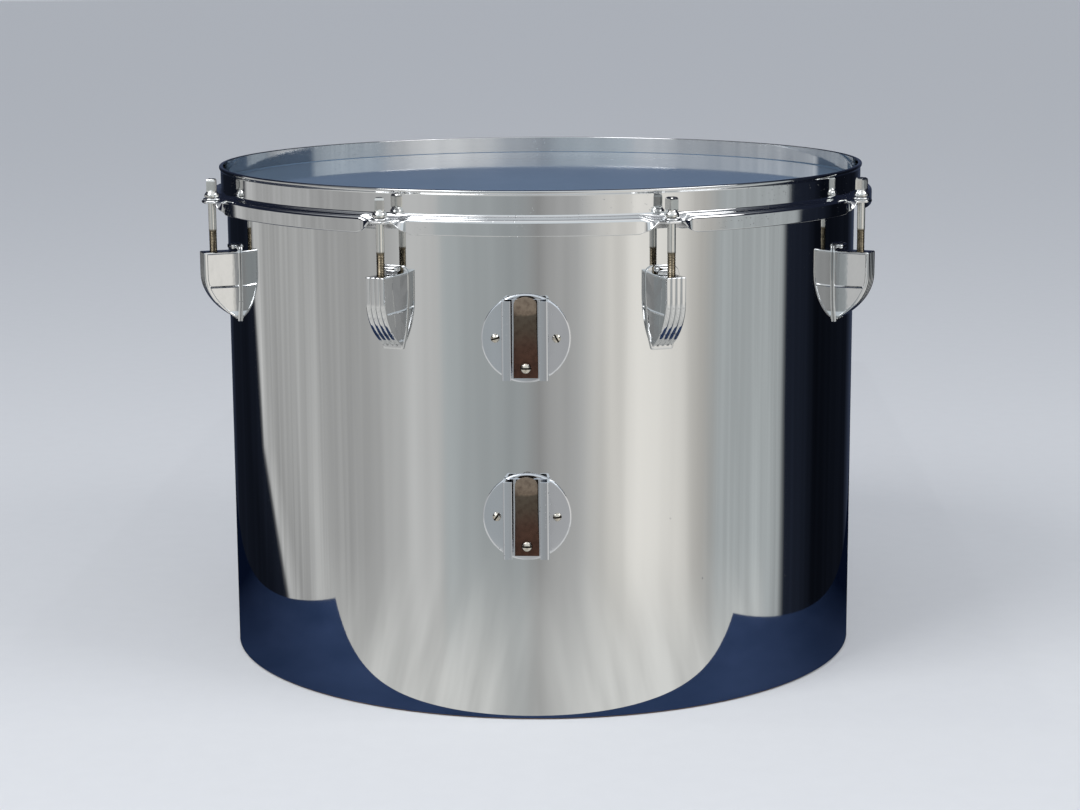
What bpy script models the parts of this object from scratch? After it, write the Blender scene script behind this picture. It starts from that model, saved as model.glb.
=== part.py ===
"""A concert tom with one head, standing on its open end: a wooden shell in a chrome wrap, a triple-flanged
hoop pulled down by eight tension rods, eight lugs, and two carrier brackets with leaf springs.

Metres, +Z up. The origin is the middle of the bottom edge. The brackets face -Y, and an azimuth is
measured from -Y towards +X.
"""

import math

import bmesh
import bpy
from mathutils import Matrix

# Driving dimensions
DRUM_RADIUS = 0.2286  # over the wrap, a nominal 18 inch drum
SHELL_HEIGHT = 0.3398
SHELL_WALL = 0.0066
WRAP_THICKNESS = 0.0004
WRAP_BOTTOM = 0.0008
WRAP_TOP = 0.3330
HEAD_TOP = 0.3404  # upper face of the drumhead film
FILM_THICKNESS = 0.0003
HOOP_TOP = 0.3527
FLANGE_TOP = 0.3360
LIP_BOTTOM = 0.3240
LIP_RADIUS = 0.2410
EAR_TOP = 0.3330
EAR_REACH = 0.2524  # drum axis to the outer edge of a hoop ear
ROD_CIRCLE = 0.2448  # drum axis to a tension rod's axis
ROD_RADIUS = 0.00275
ROD_BOTTOM = 0.2716
PLAIN_SHANK_BOTTOM = 0.3128
LUG_BOTTOM = 0.2471
LUG_DEPTH = 0.0244
LUG_COUNT = 8
FIRST_LUG_AZIMUTH = math.radians(22.5)
BRACKET_HEIGHTS = {"upper": 0.2571, "lower": 0.1389}
GAP = 0.0003  # kept between neighbouring solids

# Bearing edge and drumhead
EDGE_SETBACK = 0.0015  # the crown of the bearing edge, in from the shell's outer face
EDGE_CROWN = 0.0005
FILM_COLLAR = DRUM_RADIUS + 0.0007
FILM_BOTTOM = 0.3285
FILM_FOLD = 0.0021  # corner between the film and its collar
FLESH_HOOP_INNER = 0.2296
FLESH_HOOP_OUTER = 0.2376
FLESH_HOOP_BOTTOM = 0.3272

# Hoop
SHEET = 0.0018  # hoop metal
WALL_OUTER = 0.2326
HOOP_BEAD = 0.0010  # how far the rolled top edge stands out
EAR_HALF_WIDTH = 0.0115
ROD_HOLE_CLEARANCE = 0.0004

# Tension rod, washer and swivel nut
WASHER_RADIUS = 0.0058
WASHER_TOP = GAP + 0.0015  # above the ear
COLLAR_RADIUS = 0.0050
COLLAR_HEIGHT = 0.0030
COLLAR_TAPER = 0.0020  # cone between the collar and the square head
HEAD_TOP_ABOVE_EAR = 0.0152
HEAD_HALF = 0.00315  # half the square head's width
THREAD_RELIEF = 0.0001  # how far the threaded part lies inside the plain shank
NUT_RADIUS = 0.0042
NUT_BOTTOM = 0.0278  # above the lug's bottom
NUT_POCKET_TOP = 0.0478

# Lug
LUG_BODY_TOP = 0.0500
LUG_BODY_HALF = 0.0070
LUG_FLANGE_TOP = 0.0555
LUG_FLANGE_HALF = 0.0120
LUG_FLANGE = 0.0016
LUG_SHOULDER = 0.0065
LUG_TURN = 0.0340  # height where the front starts to curve in
LUG_FOOT = 0.0020
LUG_TAPER = 0.8  # below 1 the front ends fuller than a parabola, at 0.5 as an ellipse
CURL_RADIUS = 0.0022  # of the flange's top edge, rolled forwards
CURL_HALF = 0.0056
CURL_OUT = 0.0030
CURL_HEIGHT = 0.0531
GROOVE_DEPTH = 0.0006
GROOVE_WIDTH = 0.0009
RIB_COUNT = 4
LUG_BORE_DEPTH = 0.0075  # of the tapped hole in the lug's back

# Carrier bracket
DISC_RADIUS = 0.0290
DISC_THICKNESS = 0.0020
CHANNEL_HALF = 0.01515
CHANNEL_HALF_HEIGHT = 0.02565
CHANNEL_SLOT = 0.0091  # half the opening between the lips
CHANNEL_FACE = 0.2430  # drum axis to the front of the channel's flanges
CHANNEL_SHEET = 0.0016
CHANNEL_WEB = 0.2322  # drum axis to the face the leaf spring lies on

# Leaf spring, as heights from the bracket's middle
LEAF_THICKNESS = 0.0008
LEAF_HALF_WIDTH = 0.0080
LEAF_BOTTOM = -0.0256
LEAF_FOOT_TOP = -0.0152
LEAF_BEND = 0.0168
LEAF_TOP = 0.0280
LEAF_CROWN = 0.0052  # rise of the arched top end
LEAF_BOW = 0.0062
LEAF_TIP_SETBACK = 0.0022  # how far the tip turns back from the bend
LEAF_SCREW_DROP = 0.0190  # below the bracket's middle, and the line the leaf flexes about

# Screws: head radius, head height and shaft radius
LUG_SCREW = (0.0042, 0.0024, 0.0020)
SIDE_SCREW = (0.0029, 0.0020, 0.0017)
LEAF_SCREW = (0.00355, 0.0024, 0.0020)
SIDE_SCREW_OFFSET = 0.0198  # either side of the bracket's middle line
SCREW_SLOT_HALF = 0.0004
SCREW_SLOT_DEPTH = 0.0011
SCREW_SLOT_ANGLES = {"upper": (15, -60), "lower": (55, 5)}
HEX_NUT_RADIUS = 0.0040
HEX_NUT_HEIGHT = 0.0032

# Facets: 64 put the middle of one flat under every lug and bracket
RING_STEPS = 64
ROUND_STEPS = 12

# Stands a side outline of (outward, height) points up, facing -Y, with its thickness along X
STAND = Matrix(((0, 0, -1, 0), (-1, 0, 0, 0), (0, 1, 0, 0), (0, 0, 0, 1)))
# Turns a shape's +Z to face outward, -Y
OUTWARD = Matrix.Rotation(math.pi / 2, 4, "X")

WRAP_INNER = DRUM_RADIUS - WRAP_THICKNESS
SHELL_OUTER = WRAP_INNER - GAP
SHELL_INNER = SHELL_OUTER - SHELL_WALL
LUG_SEAT = DRUM_RADIUS + 0.0002  # plane of a lug's back, measured from the drum axis
LUG_SCREW_RISE = 0.0120  # above the lug's bottom
LUG_SCREW_HEIGHT = LUG_BOTTOM + LUG_SCREW_RISE
LUG_AZIMUTHS = [FIRST_LUG_AZIMUTH + i * math.tau / LUG_COUNT for i in range(LUG_COUNT)]

ROD_OUT = ROD_CIRCLE - LUG_SEAT  # from a lug's back to the rod's axis

DISC_INNER = DRUM_RADIUS + GAP
DISC_OUTER = DISC_INNER + DISC_THICKNESS
SIDE_SCREW_AZIMUTH = math.asin(SIDE_SCREW_OFFSET / DISC_OUTER)
CHANNEL_BACK = DISC_OUTER - DISC_THICKNESS / 2  # the channel's back sinks into the disc
LEAF_REST = CHANNEL_WEB + GAP  # drum axis to the back of the leaf's flat foot


def clear_scene():
    for obj in list(bpy.data.objects):
        bpy.data.objects.remove(obj, do_unlink=True)


def new_collection(name):
    made = bpy.data.collections.new(name)
    bpy.context.scene.collection.children.link(made)
    return made


def new_material(name, colour, roughness, metallic):
    made = bpy.data.materials.new(name)
    made.use_nodes = True
    shader = made.node_tree.nodes["Principled BSDF"]
    shader.inputs["Base Color"].default_value = (*colour, 1.0)
    shader.inputs["Roughness"].default_value = roughness
    shader.inputs["Metallic"].default_value = metallic
    made.diffuse_color = (*colour, 1.0)
    return made


clear_scene()
PARTS = new_collection("concert_tom")
CUTTERS = new_collection("cutters")
CHROME = new_material("chrome", (0.80, 0.81, 0.82), 0.06, 1.0)
WRAP = new_material("chrome_wrap", (0.78, 0.79, 0.80), 0.04, 1.0)
WOOD = new_material("wood_ply", (0.52, 0.36, 0.20), 0.55, 0.0)
FILM = new_material("drumhead_film", (0.16, 0.21, 0.30), 0.25, 0.0)
ALUMINIUM = new_material("aluminium", (0.72, 0.72, 0.73), 0.35, 1.0)
BRASS = new_material("brass", (0.62, 0.48, 0.24), 0.35, 1.0)
SPRING_BRASS = new_material("oxidised_brass", (0.25, 0.16, 0.09), 0.40, 1.0)
SCREW_METAL = new_material("nickel", (0.66, 0.64, 0.58), 0.22, 1.0)
ROD_METAL = new_material("rod_chrome", (0.74, 0.74, 0.73), 0.12, 1.0)


def add_object(name, mesh, material, collection=PARTS):
    obj = bpy.data.objects.new(name, mesh)
    collection.objects.link(obj)
    if material and not mesh.materials:
        mesh.materials.append(material)
    if collection is CUTTERS:
        obj.hide_render = True
        obj.display_type = "WIRE"
    return obj


def evaluated_mesh(obj, name):
    """The object's mesh after its modifiers, with loose caps welded, as a new mesh."""
    bpy.context.view_layer.update()
    graph = bpy.context.evaluated_depsgraph_get()
    mesh = bpy.data.meshes.new_from_object(obj.evaluated_get(graph))
    mesh.name = name
    work = bmesh.new()
    work.from_mesh(mesh)
    bmesh.ops.remove_doubles(work, verts=work.verts, dist=1e-6)
    work.to_mesh(mesh)
    work.free()
    return mesh


def shade(obj):
    obj.data.shade_smooth()
    obj.data.set_sharp_from_angle(angle=math.radians(35))


def turned(name, profile, material, steps=RING_STEPS, collection=PARTS):
    """A ring or a solid turned about Z, with a flat facing -Y. The (radius, height) profile runs down its
    outer side first."""
    work = bmesh.new()
    start = math.pi / steps
    verts = [work.verts.new((r * math.cos(start), r * math.sin(start), z)) for r, z in profile]
    edges = list(zip(verts, verts[1:]))
    if profile[0][0] > 0 and profile[-1][0] > 0:
        edges.append((verts[-1], verts[0]))
    for pair in edges:
        work.edges.new(pair)
    mesh = bpy.data.meshes.new(name)
    work.to_mesh(mesh)
    work.free()
    obj = add_object(name, mesh, material, collection)
    screw = obj.modifiers.new("turn", "SCREW")
    screw.steps = steps
    screw.render_steps = steps
    screw.use_merge_vertices = True
    screw.merge_threshold = 1e-6
    screw.use_smooth_shade = False
    return obj


def outline_plate(name, outline, bottom, top, collection=CUTTERS):
    """A flat (x, y) outline as a plate from height bottom to height top, made into a mesh."""
    curve = bpy.data.curves.new(name, "CURVE")
    curve.dimensions = "2D"
    curve.fill_mode = "BOTH"
    curve.extrude = (top - bottom) / 2
    spline = curve.splines.new("POLY")
    spline.points.add(len(outline) - 1)
    for point, (x, y) in zip(spline.points, outline):
        point.co = (x, y, 0.0, 1.0)
    spline.use_cyclic_u = True
    guide = bpy.data.objects.new(name, curve)
    collection.objects.link(guide)
    mesh = evaluated_mesh(guide, name)
    mesh.transform(Matrix.Translation((0.0, 0.0, (top + bottom) / 2)))
    bpy.data.objects.remove(guide)
    return add_object(name, mesh, None, collection)


def rod_shape(name, radius, bottom, top, steps=ROUND_STEPS):
    """A plain cylinder about Z, from height bottom to height top, as a tool."""
    work = bmesh.new()
    place = Matrix.Translation((0.0, 0.0, (top + bottom) / 2))
    bmesh.ops.create_cone(
        work, cap_ends=True, segments=steps, radius1=radius, radius2=radius, depth=top - bottom, matrix=place
    )
    mesh = bpy.data.meshes.new(name)
    work.to_mesh(mesh)
    work.free()
    return add_object(name, mesh, None, CUTTERS)


def box_shape(name, low, high):
    """A box between two corners, as a tool."""
    size = [b - a for a, b in zip(low, high)]
    middle = [(a + b) / 2 for a, b in zip(low, high)]
    work = bmesh.new()
    place = Matrix.Translation(middle) @ Matrix.Diagonal((*size, 1.0))
    bmesh.ops.create_cube(work, size=1.0, matrix=place)
    mesh = bpy.data.meshes.new(name)
    work.to_mesh(mesh)
    work.free()
    return add_object(name, mesh, None, CUTTERS)


def moved(obj, matrix):
    """The same tool with its mesh carried by a matrix."""
    obj.data.transform(matrix)
    return obj


def on_drum(azimuth, radius, height):
    """Carries a shape made at the origin, front towards -Y, to its place round the drum."""
    turn = Matrix.Rotation(azimuth, 4, "Z")
    return turn @ Matrix.Translation((0.0, -radius, height))


def radial_pin(name, radius, inner, outer, azimuth, height):
    """A cylinder along the drum's radius, from inner to outer, as a tool."""
    pin = rod_shape(name, radius, inner, outer)
    return moved(pin, Matrix.Rotation(azimuth, 4, "Z") @ Matrix.Translation((0, 0, height)) @ OUTWARD)


def joined(name, tools):
    """Several separate tools as one tool of as many bodies."""
    work = bmesh.new()
    for tool in tools:
        work.from_mesh(tool.data)
        bpy.data.objects.remove(tool)
    mesh = bpy.data.meshes.new(name)
    work.to_mesh(mesh)
    work.free()
    return add_object(name, mesh, None, CUTTERS)


def boolean(obj, tool, operation):
    step = obj.modifiers.new(tool.name, "BOOLEAN")
    step.object = tool
    step.operation = operation
    step.solver = "EXACT"


def finished(obj, name, material):
    """A part whose modifiers are applied, so that its copies can share one mesh."""
    mesh = evaluated_mesh(obj, name)
    mesh.materials.clear()
    mesh.materials.append(material)
    bpy.data.objects.remove(obj)
    return mesh


def copies(name, mesh, material, radius, height):
    """One object for each lug position, sharing a mesh made at the origin with its front towards -Y."""
    for index, azimuth in enumerate(LUG_AZIMUTHS):
        obj = add_object(f"{name}_{index + 1}", mesh, material)
        obj.matrix_world = on_drum(azimuth, radius, height)
        shade(obj)


def arc(centre, radius, start, end, count):
    """Points on an arc between two angles in degrees, both ends included. A radius may be (x, y)."""
    across, along = radius if isinstance(radius, tuple) else (radius, radius)
    angles = [math.radians(start + (end - start) * i / (count - 1)) for i in range(count)]
    return [(centre[0] + across * math.cos(a), centre[1] + along * math.sin(a)) for a in angles]


# Shell and wrap, with holes for the screws that hold the lugs and brackets


def screw_holes(name, clearance):
    inner = SHELL_INNER - 0.01
    outer = DRUM_RADIUS + 0.01
    lug_pins = [
        radial_pin("pin", LUG_SCREW[2] + clearance, inner, outer, azimuth, LUG_SCREW_HEIGHT)
        for azimuth in LUG_AZIMUTHS
    ]
    bracket_pins = [
        radial_pin("pin", SIDE_SCREW[2] + clearance, inner, outer, side, height)
        for height in BRACKET_HEIGHTS.values()
        for side in (-SIDE_SCREW_AZIMUTH, SIDE_SCREW_AZIMUTH)
    ]
    return joined(name, lug_pins + bracket_pins)


def make_shell():
    edge = SHELL_OUTER - EDGE_SETBACK
    cut = edge - EDGE_CROWN - SHELL_INNER  # 45 degree inner cut
    profile = [
        (edge, SHELL_HEIGHT),
        (SHELL_OUTER, SHELL_HEIGHT - EDGE_SETBACK),
        (SHELL_OUTER, 0.0),
        (SHELL_INNER, 0.0),
        (SHELL_INNER, SHELL_HEIGHT - cut),
        (edge - EDGE_CROWN, SHELL_HEIGHT),
    ]
    shell = turned("shell", profile, WOOD)
    boolean(shell, screw_holes("shell_screw_holes", GAP), "DIFFERENCE")


def make_wrap():
    profile = [
        (DRUM_RADIUS, WRAP_TOP),
        (DRUM_RADIUS, WRAP_BOTTOM),
        (WRAP_INNER, WRAP_BOTTOM),
        (WRAP_INNER, WRAP_TOP),
    ]
    wrap = turned("chrome_wrap", profile, WRAP)
    boolean(wrap, screw_holes("wrap_screw_holes", GAP), "DIFFERENCE")


# Drumhead: a film with a collar, and the flesh hoop that holds its edge


def make_drumhead():
    inner = FILM_COLLAR - FILM_THICKNESS
    profile = [
        (0.0, HEAD_TOP),
        (FILM_COLLAR - FILM_FOLD, HEAD_TOP),
        (FILM_COLLAR, HEAD_TOP - FILM_FOLD),
        (FILM_COLLAR, FILM_BOTTOM),
        (inner, FILM_BOTTOM),
        (inner, HEAD_TOP - FILM_FOLD - FILM_THICKNESS / 2),
        (FILM_COLLAR - FILM_FOLD - FILM_THICKNESS / 2, HEAD_TOP - FILM_THICKNESS),
        (0.0, HEAD_TOP - FILM_THICKNESS),
    ]
    turned("drumhead_film", profile, FILM)


def make_flesh_hoop():
    top = FLANGE_TOP - SHEET - GAP
    bevel = 0.0006
    profile = [
        (FLESH_HOOP_OUTER - bevel, top),
        (FLESH_HOOP_OUTER, top - bevel),
        (FLESH_HOOP_OUTER, FLESH_HOOP_BOTTOM),
        (FLESH_HOOP_INNER, FLESH_HOOP_BOTTOM),
        (FLESH_HOOP_INNER, top),
    ]
    turned("flesh_hoop", profile, ALUMINIUM)


# Hoop: wall, flange and turned-down lip, with a flat ear at each rod


def hoop_profile():
    inner = WALL_OUTER - SHEET
    under = FLANGE_TOP - SHEET
    lip_inner = LIP_RADIUS - 0.9 * SHEET
    bend = 0.0020  # outside bend between the flange and the lip
    fillet = 0.0016  # between the wall and the flange
    return [
        (WALL_OUTER - SHEET / 4, HOOP_TOP),
        (WALL_OUTER + 0.8 * HOOP_BEAD, HOOP_TOP - HOOP_BEAD / 2),
        (WALL_OUTER + HOOP_BEAD, HOOP_TOP - 1.4 * HOOP_BEAD),
        (WALL_OUTER, HOOP_TOP - 2.6 * HOOP_BEAD),
        (WALL_OUTER, FLANGE_TOP + fillet),
        (WALL_OUTER + fillet, FLANGE_TOP),
        (LIP_RADIUS - bend, FLANGE_TOP),
        (LIP_RADIUS - 0.2 * bend, FLANGE_TOP - 0.3 * bend),
        (LIP_RADIUS, FLANGE_TOP - bend),
        (LIP_RADIUS, LIP_BOTTOM),
        (lip_inner, LIP_BOTTOM),
        (lip_inner, under),
        (inner + 0.7 * fillet, under),
        (inner, under + 0.7 * fillet),
        (inner, HOOP_TOP - SHEET / 2),
        (inner + SHEET / 3, HOOP_TOP),
    ]


def ear_outline():
    """An ear seen from above: its rounded end, then straight back under the lip."""
    reach = EAR_REACH - ROD_CIRCLE
    right = arc((0.0, 0.0), (EAR_HALF_WIDTH - 0.002, reach), 0, -180, 7)
    back = ROD_CIRCLE - (LIP_RADIUS - 0.0012)
    return [(EAR_HALF_WIDTH, back), *right, (-EAR_HALF_WIDTH, back)]


def make_hoop():
    hoop = turned("hoop", hoop_profile(), CHROME)
    ears, windows, seats, holes = [], [], [], []
    for azimuth in LUG_AZIMUTHS:
        place = on_drum(azimuth, ROD_CIRCLE, 0.0)
        ears.append(moved(outline_plate("ear", ear_outline(), EAR_TOP - SHEET, EAR_TOP), place))
        edge = EAR_HALF_WIDTH - 0.001
        low = (-edge, 0.0008, LIP_BOTTOM - 0.01)
        high = (edge, 0.0060, EAR_TOP - SHEET)
        windows.append(moved(box_shape("window", low, high), place))
        seat = rod_shape("seat", WASHER_RADIUS + 2 * GAP, EAR_TOP, HOOP_TOP - 0.006)
        seats.append(moved(seat, place))
        hole = rod_shape("hole", ROD_RADIUS + ROD_HOLE_CLEARANCE, EAR_TOP - 0.01, EAR_TOP + 0.01)
        holes.append(moved(hole, place))
    boolean(hoop, joined("hoop_ears", ears), "UNION")
    boolean(hoop, joined("lip_windows", windows), "DIFFERENCE")
    boolean(hoop, joined("washer_seats", seats), "DIFFERENCE")
    boolean(hoop, joined("rod_holes", holes), "DIFFERENCE")


# Tension rods and their washers, made about the rod's own axis with z = 0 on the ear


def make_washers():
    bore = ROD_RADIUS + ROD_HOLE_CLEARANCE
    profile = [
        (WASHER_RADIUS, WASHER_TOP),
        (WASHER_RADIUS, GAP),
        (bore, GAP),
        (bore, WASHER_TOP),
    ]
    washer = turned("washer", profile, CHROME, ROUND_STEPS)
    copies("washer", finished(washer, "washer", CHROME), CHROME, ROD_CIRCLE, EAR_TOP)


def make_rods():
    collar_bottom = WASHER_TOP + GAP
    collar_top = collar_bottom + COLLAR_HEIGHT
    thread = ROD_RADIUS - THREAD_RELIEF
    thread_top = PLAIN_SHANK_BOTTOM - EAR_TOP - 2 * THREAD_RELIEF
    bottom = ROD_BOTTOM - EAR_TOP
    point = 0.0009  # chamfer at the lower end
    profile = [
        (0.0, collar_top + COLLAR_TAPER),
        (0.95 * HEAD_HALF, collar_top + COLLAR_TAPER),
        (COLLAR_RADIUS, collar_top),
        (COLLAR_RADIUS, collar_bottom),
        (ROD_RADIUS, collar_bottom),
        (ROD_RADIUS, PLAIN_SHANK_BOTTOM - EAR_TOP),
        (thread, thread_top),
        (thread, bottom + point),
        (thread - point, bottom),
        (0.0, bottom),
    ]
    rod = turned("tension_rod", profile, ROD_METAL, ROUND_STEPS)
    low = (-HEAD_HALF, -HEAD_HALF, collar_top)
    head = box_shape("square_head", low, (HEAD_HALF, HEAD_HALF, HEAD_TOP_ABOVE_EAR))
    boolean(rod, head, "UNION")
    copies("tension_rod", finished(rod, "tension_rod", ROD_METAL), ROD_METAL, ROD_CIRCLE, EAR_TOP)


# Lugs, made with the back on y = 0, the front towards -Y and the bottom on z = 0


def lug_front(offset, end):
    """The curve below the straight front, as (outward, height), set off along its normal. It stops at the
    share end of the way down, and its points crowd towards the foot."""
    count = 9
    fall = LUG_TURN - LUG_FOOT
    points = []
    for index in range(count):
        share = end * math.sin(index / (count - 1) * math.pi / 2)
        left = 1 - share**2
        depth = LUG_DEPTH * left**LUG_TAPER
        slope = 2 * share * LUG_TAPER * LUG_DEPTH * left ** (LUG_TAPER - 1)
        length = math.hypot(fall, slope)
        points.append((depth + offset * fall / length, LUG_TURN - share * fall - offset * slope / length))
    return points


def lug_side():
    """The body seen from its side. Its back lies just inside the flange plate."""
    back = 0.0005
    corner = 0.0012
    top = [(back, LUG_BODY_TOP), (LUG_DEPTH - corner, LUG_BODY_TOP), (LUG_DEPTH, LUG_BODY_TOP - corner)]
    return [*top, *lug_front(0.0, 0.98), (back, LUG_FOOT)]


def groove_side():
    """A groove's tool seen from its side: a band along the front, open at the top."""
    past_top = LUG_BODY_TOP + 0.006
    past_front = 0.003
    outer = [(LUG_DEPTH + past_front, past_top), *lug_front(past_front, 0.94)]
    inner = [(LUG_DEPTH - GROOVE_DEPTH, past_top), *lug_front(-GROOVE_DEPTH, 0.94)]
    return outer + inner[::-1]


def lug_flange_outline():
    """The shield behind the body as (x, height): round shoulders and a narrow flat foot."""
    half = LUG_FLANGE_HALF
    shoulder = arc((half - LUG_SHOULDER, LUG_FLANGE_TOP - LUG_SHOULDER), LUG_SHOULDER, 0, 90, 4)
    right = [(0.60 * half, 0.0), (0.82 * half, 0.0100), (0.97 * half, 0.0250), (half, 0.0400), *shoulder]
    return right + [(-x, z) for x, z in reversed(right)]


def make_lugs():
    lug = moved(outline_plate("lug", lug_side(), -LUG_BODY_HALF, LUG_BODY_HALF), STAND)
    flange = outline_plate("lug_flange", lug_flange_outline(), 0.0, LUG_FLANGE)
    boolean(lug, moved(flange, OUTWARD), "UNION")
    curl_place = Matrix.Translation((0.0, -CURL_OUT, CURL_HEIGHT)) @ Matrix.Rotation(math.pi / 2, 4, "Y")
    boolean(lug, moved(rod_shape("curl", CURL_RADIUS, -CURL_HALF, CURL_HALF), curl_place), "UNION")
    rib_pitch = 2 * LUG_BODY_HALF / RIB_COUNT
    grooves = []
    for index in range(1, RIB_COUNT):
        middle = -LUG_BODY_HALF + index * rib_pitch
        groove = outline_plate("groove", groove_side(), middle - GROOVE_WIDTH / 2, middle + GROOVE_WIDTH / 2)
        grooves.append(moved(groove, STAND))
    boolean(lug, joined("lug_grooves", grooves), "DIFFERENCE")
    pocket_front = -(ROD_OUT + NUT_RADIUS + GAP)
    pocket_half = 0.7 * LUG_BODY_HALF
    low = (-pocket_half, pocket_front, NUT_BOTTOM - GAP)
    boolean(lug, box_shape("nut_pocket", low, (pocket_half, 0.01, NUT_POCKET_TOP)), "DIFFERENCE")
    bore = rod_shape("rod_bore", ROD_RADIUS + ROD_HOLE_CLEARANCE, ROD_BOTTOM - LUG_BOTTOM - 0.0005, 0.07)
    boolean(lug, moved(bore, Matrix.Translation((0.0, -ROD_OUT, 0.0))), "DIFFERENCE")
    tapped = radial_pin("lug_screw_bore", LUG_SCREW[2] + GAP, -0.01, LUG_BORE_DEPTH, 0.0, LUG_SCREW_RISE)
    boolean(lug, tapped, "DIFFERENCE")
    copies("lug", finished(lug, "lug", CHROME), CHROME, LUG_SEAT, LUG_BOTTOM)


def make_swivel_nuts():
    """The threaded barrel inside each lug, about the rod's axis with z = 0 at the lug's bottom."""
    bore = ROD_RADIUS + GAP
    top = NUT_POCKET_TOP - GAP
    profile = [
        (NUT_RADIUS, top),
        (NUT_RADIUS, NUT_BOTTOM),
        (bore, NUT_BOTTOM),
        (bore, top),
    ]
    nut = turned("swivel_nut", profile, BRASS, ROUND_STEPS)
    copies("swivel_nut", finished(nut, "swivel_nut", BRASS), BRASS, ROD_CIRCLE, LUG_BOTTOM)


# Screws, made about Z with the underside of the head on z = 0 and the shaft below


def screw_blank(name, size, shaft_length, steps=ROUND_STEPS):
    """A slotted round-head screw of a (head radius, head height, shaft radius) size."""
    head_radius, head_height, shaft_radius = size
    dome = arc((0.0, 0.0), (head_radius, head_height), 90, 0, 4)
    profile = [
        *dome,
        (shaft_radius, 0.0),
        (shaft_radius, -shaft_length),
        (0.0, -shaft_length),
    ]
    profile[0] = (0.0, head_height)
    screw = turned(name, profile, SCREW_METAL, steps)
    reach = head_radius + 0.001
    low = (-reach, -SCREW_SLOT_HALF, head_height - SCREW_SLOT_DEPTH)
    slot = box_shape(f"{name}_slot", low, (reach, SCREW_SLOT_HALF, head_height + 0.001))
    boolean(screw, slot, "DIFFERENCE")
    return finished(screw, name, SCREW_METAL)


def make_lug_screws():
    """One screw from inside the shell into each lug. Its head lies against the wood, slot level."""
    length = LUG_SEAT + LUG_BORE_DEPTH - SHELL_INNER
    mesh = screw_blank("lug_screw", LUG_SCREW, length, 8)
    mesh.transform(Matrix.Rotation(-math.pi / 2, 4, "X"))  # the head faces +Y, into the drum
    copies("lug_screw", mesh, SCREW_METAL, SHELL_INNER - 2 * GAP, LUG_SCREW_HEIGHT)


# Carrier brackets


def channel_outline():
    """The channel seen from above as (x, outward): a C with its lips turned inwards."""
    inner = CHANNEL_HALF - CHANNEL_SHEET
    right = [
        (CHANNEL_HALF, CHANNEL_BACK),
        (CHANNEL_HALF, CHANNEL_FACE),
        (CHANNEL_SLOT, CHANNEL_FACE),
        (CHANNEL_SLOT, CHANNEL_FACE - CHANNEL_SHEET),
        (inner, CHANNEL_FACE - CHANNEL_SHEET),
        (inner, CHANNEL_WEB),
    ]
    return right + [(-x, y) for x, y in reversed(right)]


def make_bracket_plate(where, height):
    """A disc bent to the shell, with the channel that takes the carrier's hook."""
    reach = 1.2 * DISC_RADIUS
    band = [(DISC_OUTER, reach), (DISC_OUTER, -reach), (DISC_INNER, -reach), (DISC_INNER, reach)]
    ring = turned(f"{where}_disc_ring", band, None, RING_STEPS, CUTTERS)
    plate = moved(rod_shape(f"{where}_disc", DISC_RADIUS, 0.2, 0.26, 32), OUTWARD)
    boolean(plate, ring, "INTERSECT")
    mirror = Matrix.Diagonal((1.0, -1.0, 1.0, 1.0))
    channel = outline_plate(f"{where}_channel", channel_outline(), -CHANNEL_HALF_HEIGHT, CHANNEL_HALF_HEIGHT)
    moved(channel, mirror).data.flip_normals()
    boolean(plate, channel, "UNION")
    pins = [
        radial_pin("pin", SIDE_SCREW[2] + GAP, 0.21, 0.25, side, 0.0)
        for side in (-SIDE_SCREW_AZIMUTH, SIDE_SCREW_AZIMUTH)
    ]
    pins.append(radial_pin("pin", LEAF_SCREW[2] + GAP, 0.21, 0.25, 0.0, -LEAF_SCREW_DROP))
    boolean(plate, joined(f"{where}_plate_holes", pins), "DIFFERENCE")
    mesh = finished(plate, f"{where}_bracket", CHROME)
    obj = add_object(f"{where}_bracket", mesh, CHROME)
    obj.location.z = height
    shade(obj)


def leaf_side():
    """The leaf seen from its side as (outward, height) along its back: flat foot, bow, bend and tip."""
    bow = []
    for index in range(5):
        share = (index + 1) / 5
        rise = math.sin(share * math.pi / 2)
        bow.append((LEAF_REST + LEAF_BOW * rise, LEAF_FOOT_TOP + share * (LEAF_BEND - LEAF_FOOT_TOP)))
    tip = (LEAF_REST + LEAF_BOW - LEAF_TIP_SETBACK, LEAF_TOP)
    return [(LEAF_REST, LEAF_BOTTOM), (LEAF_REST, LEAF_FOOT_TOP), *bow, tip]


def make_leaf_spring(where, height):
    """A bowed strip with an arched top end. Its origin is behind its screw, where it flexes."""
    back = leaf_side()
    front = [(y + LEAF_THICKNESS, z) for y, z in back]
    strip = outline_plate(f"{where}_strip", back + front[::-1], -LEAF_HALF_WIDTH, LEAF_HALF_WIDTH)
    moved(strip, STAND)
    past_side = LEAF_HALF_WIDTH + 0.0002
    bottom = LEAF_BOTTOM - 0.002
    crown = arc((0.0, LEAF_TOP - LEAF_CROWN), (past_side, LEAF_CROWN), 0, 180, 7)
    outline = [(past_side, bottom), *crown, (-past_side, bottom)]
    trim = outline_plate(f"{where}_leaf_trim", outline, 0.22, 0.26)
    boolean(strip, moved(trim, OUTWARD), "INTERSECT")
    hole = radial_pin(f"{where}_leaf_hole", LEAF_SCREW[2] + GAP, 0.22, 0.26, 0.0, -LEAF_SCREW_DROP)
    boolean(strip, hole, "DIFFERENCE")
    mesh = finished(strip, f"{where}_leaf_spring", SPRING_BRASS)
    mesh.transform(Matrix.Translation((0.0, LEAF_REST, LEAF_SCREW_DROP)))
    obj = add_object(f"{where}_leaf_spring", mesh, SPRING_BRASS)
    obj.location = (0.0, -LEAF_REST, height - LEAF_SCREW_DROP)
    shade(obj)


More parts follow.
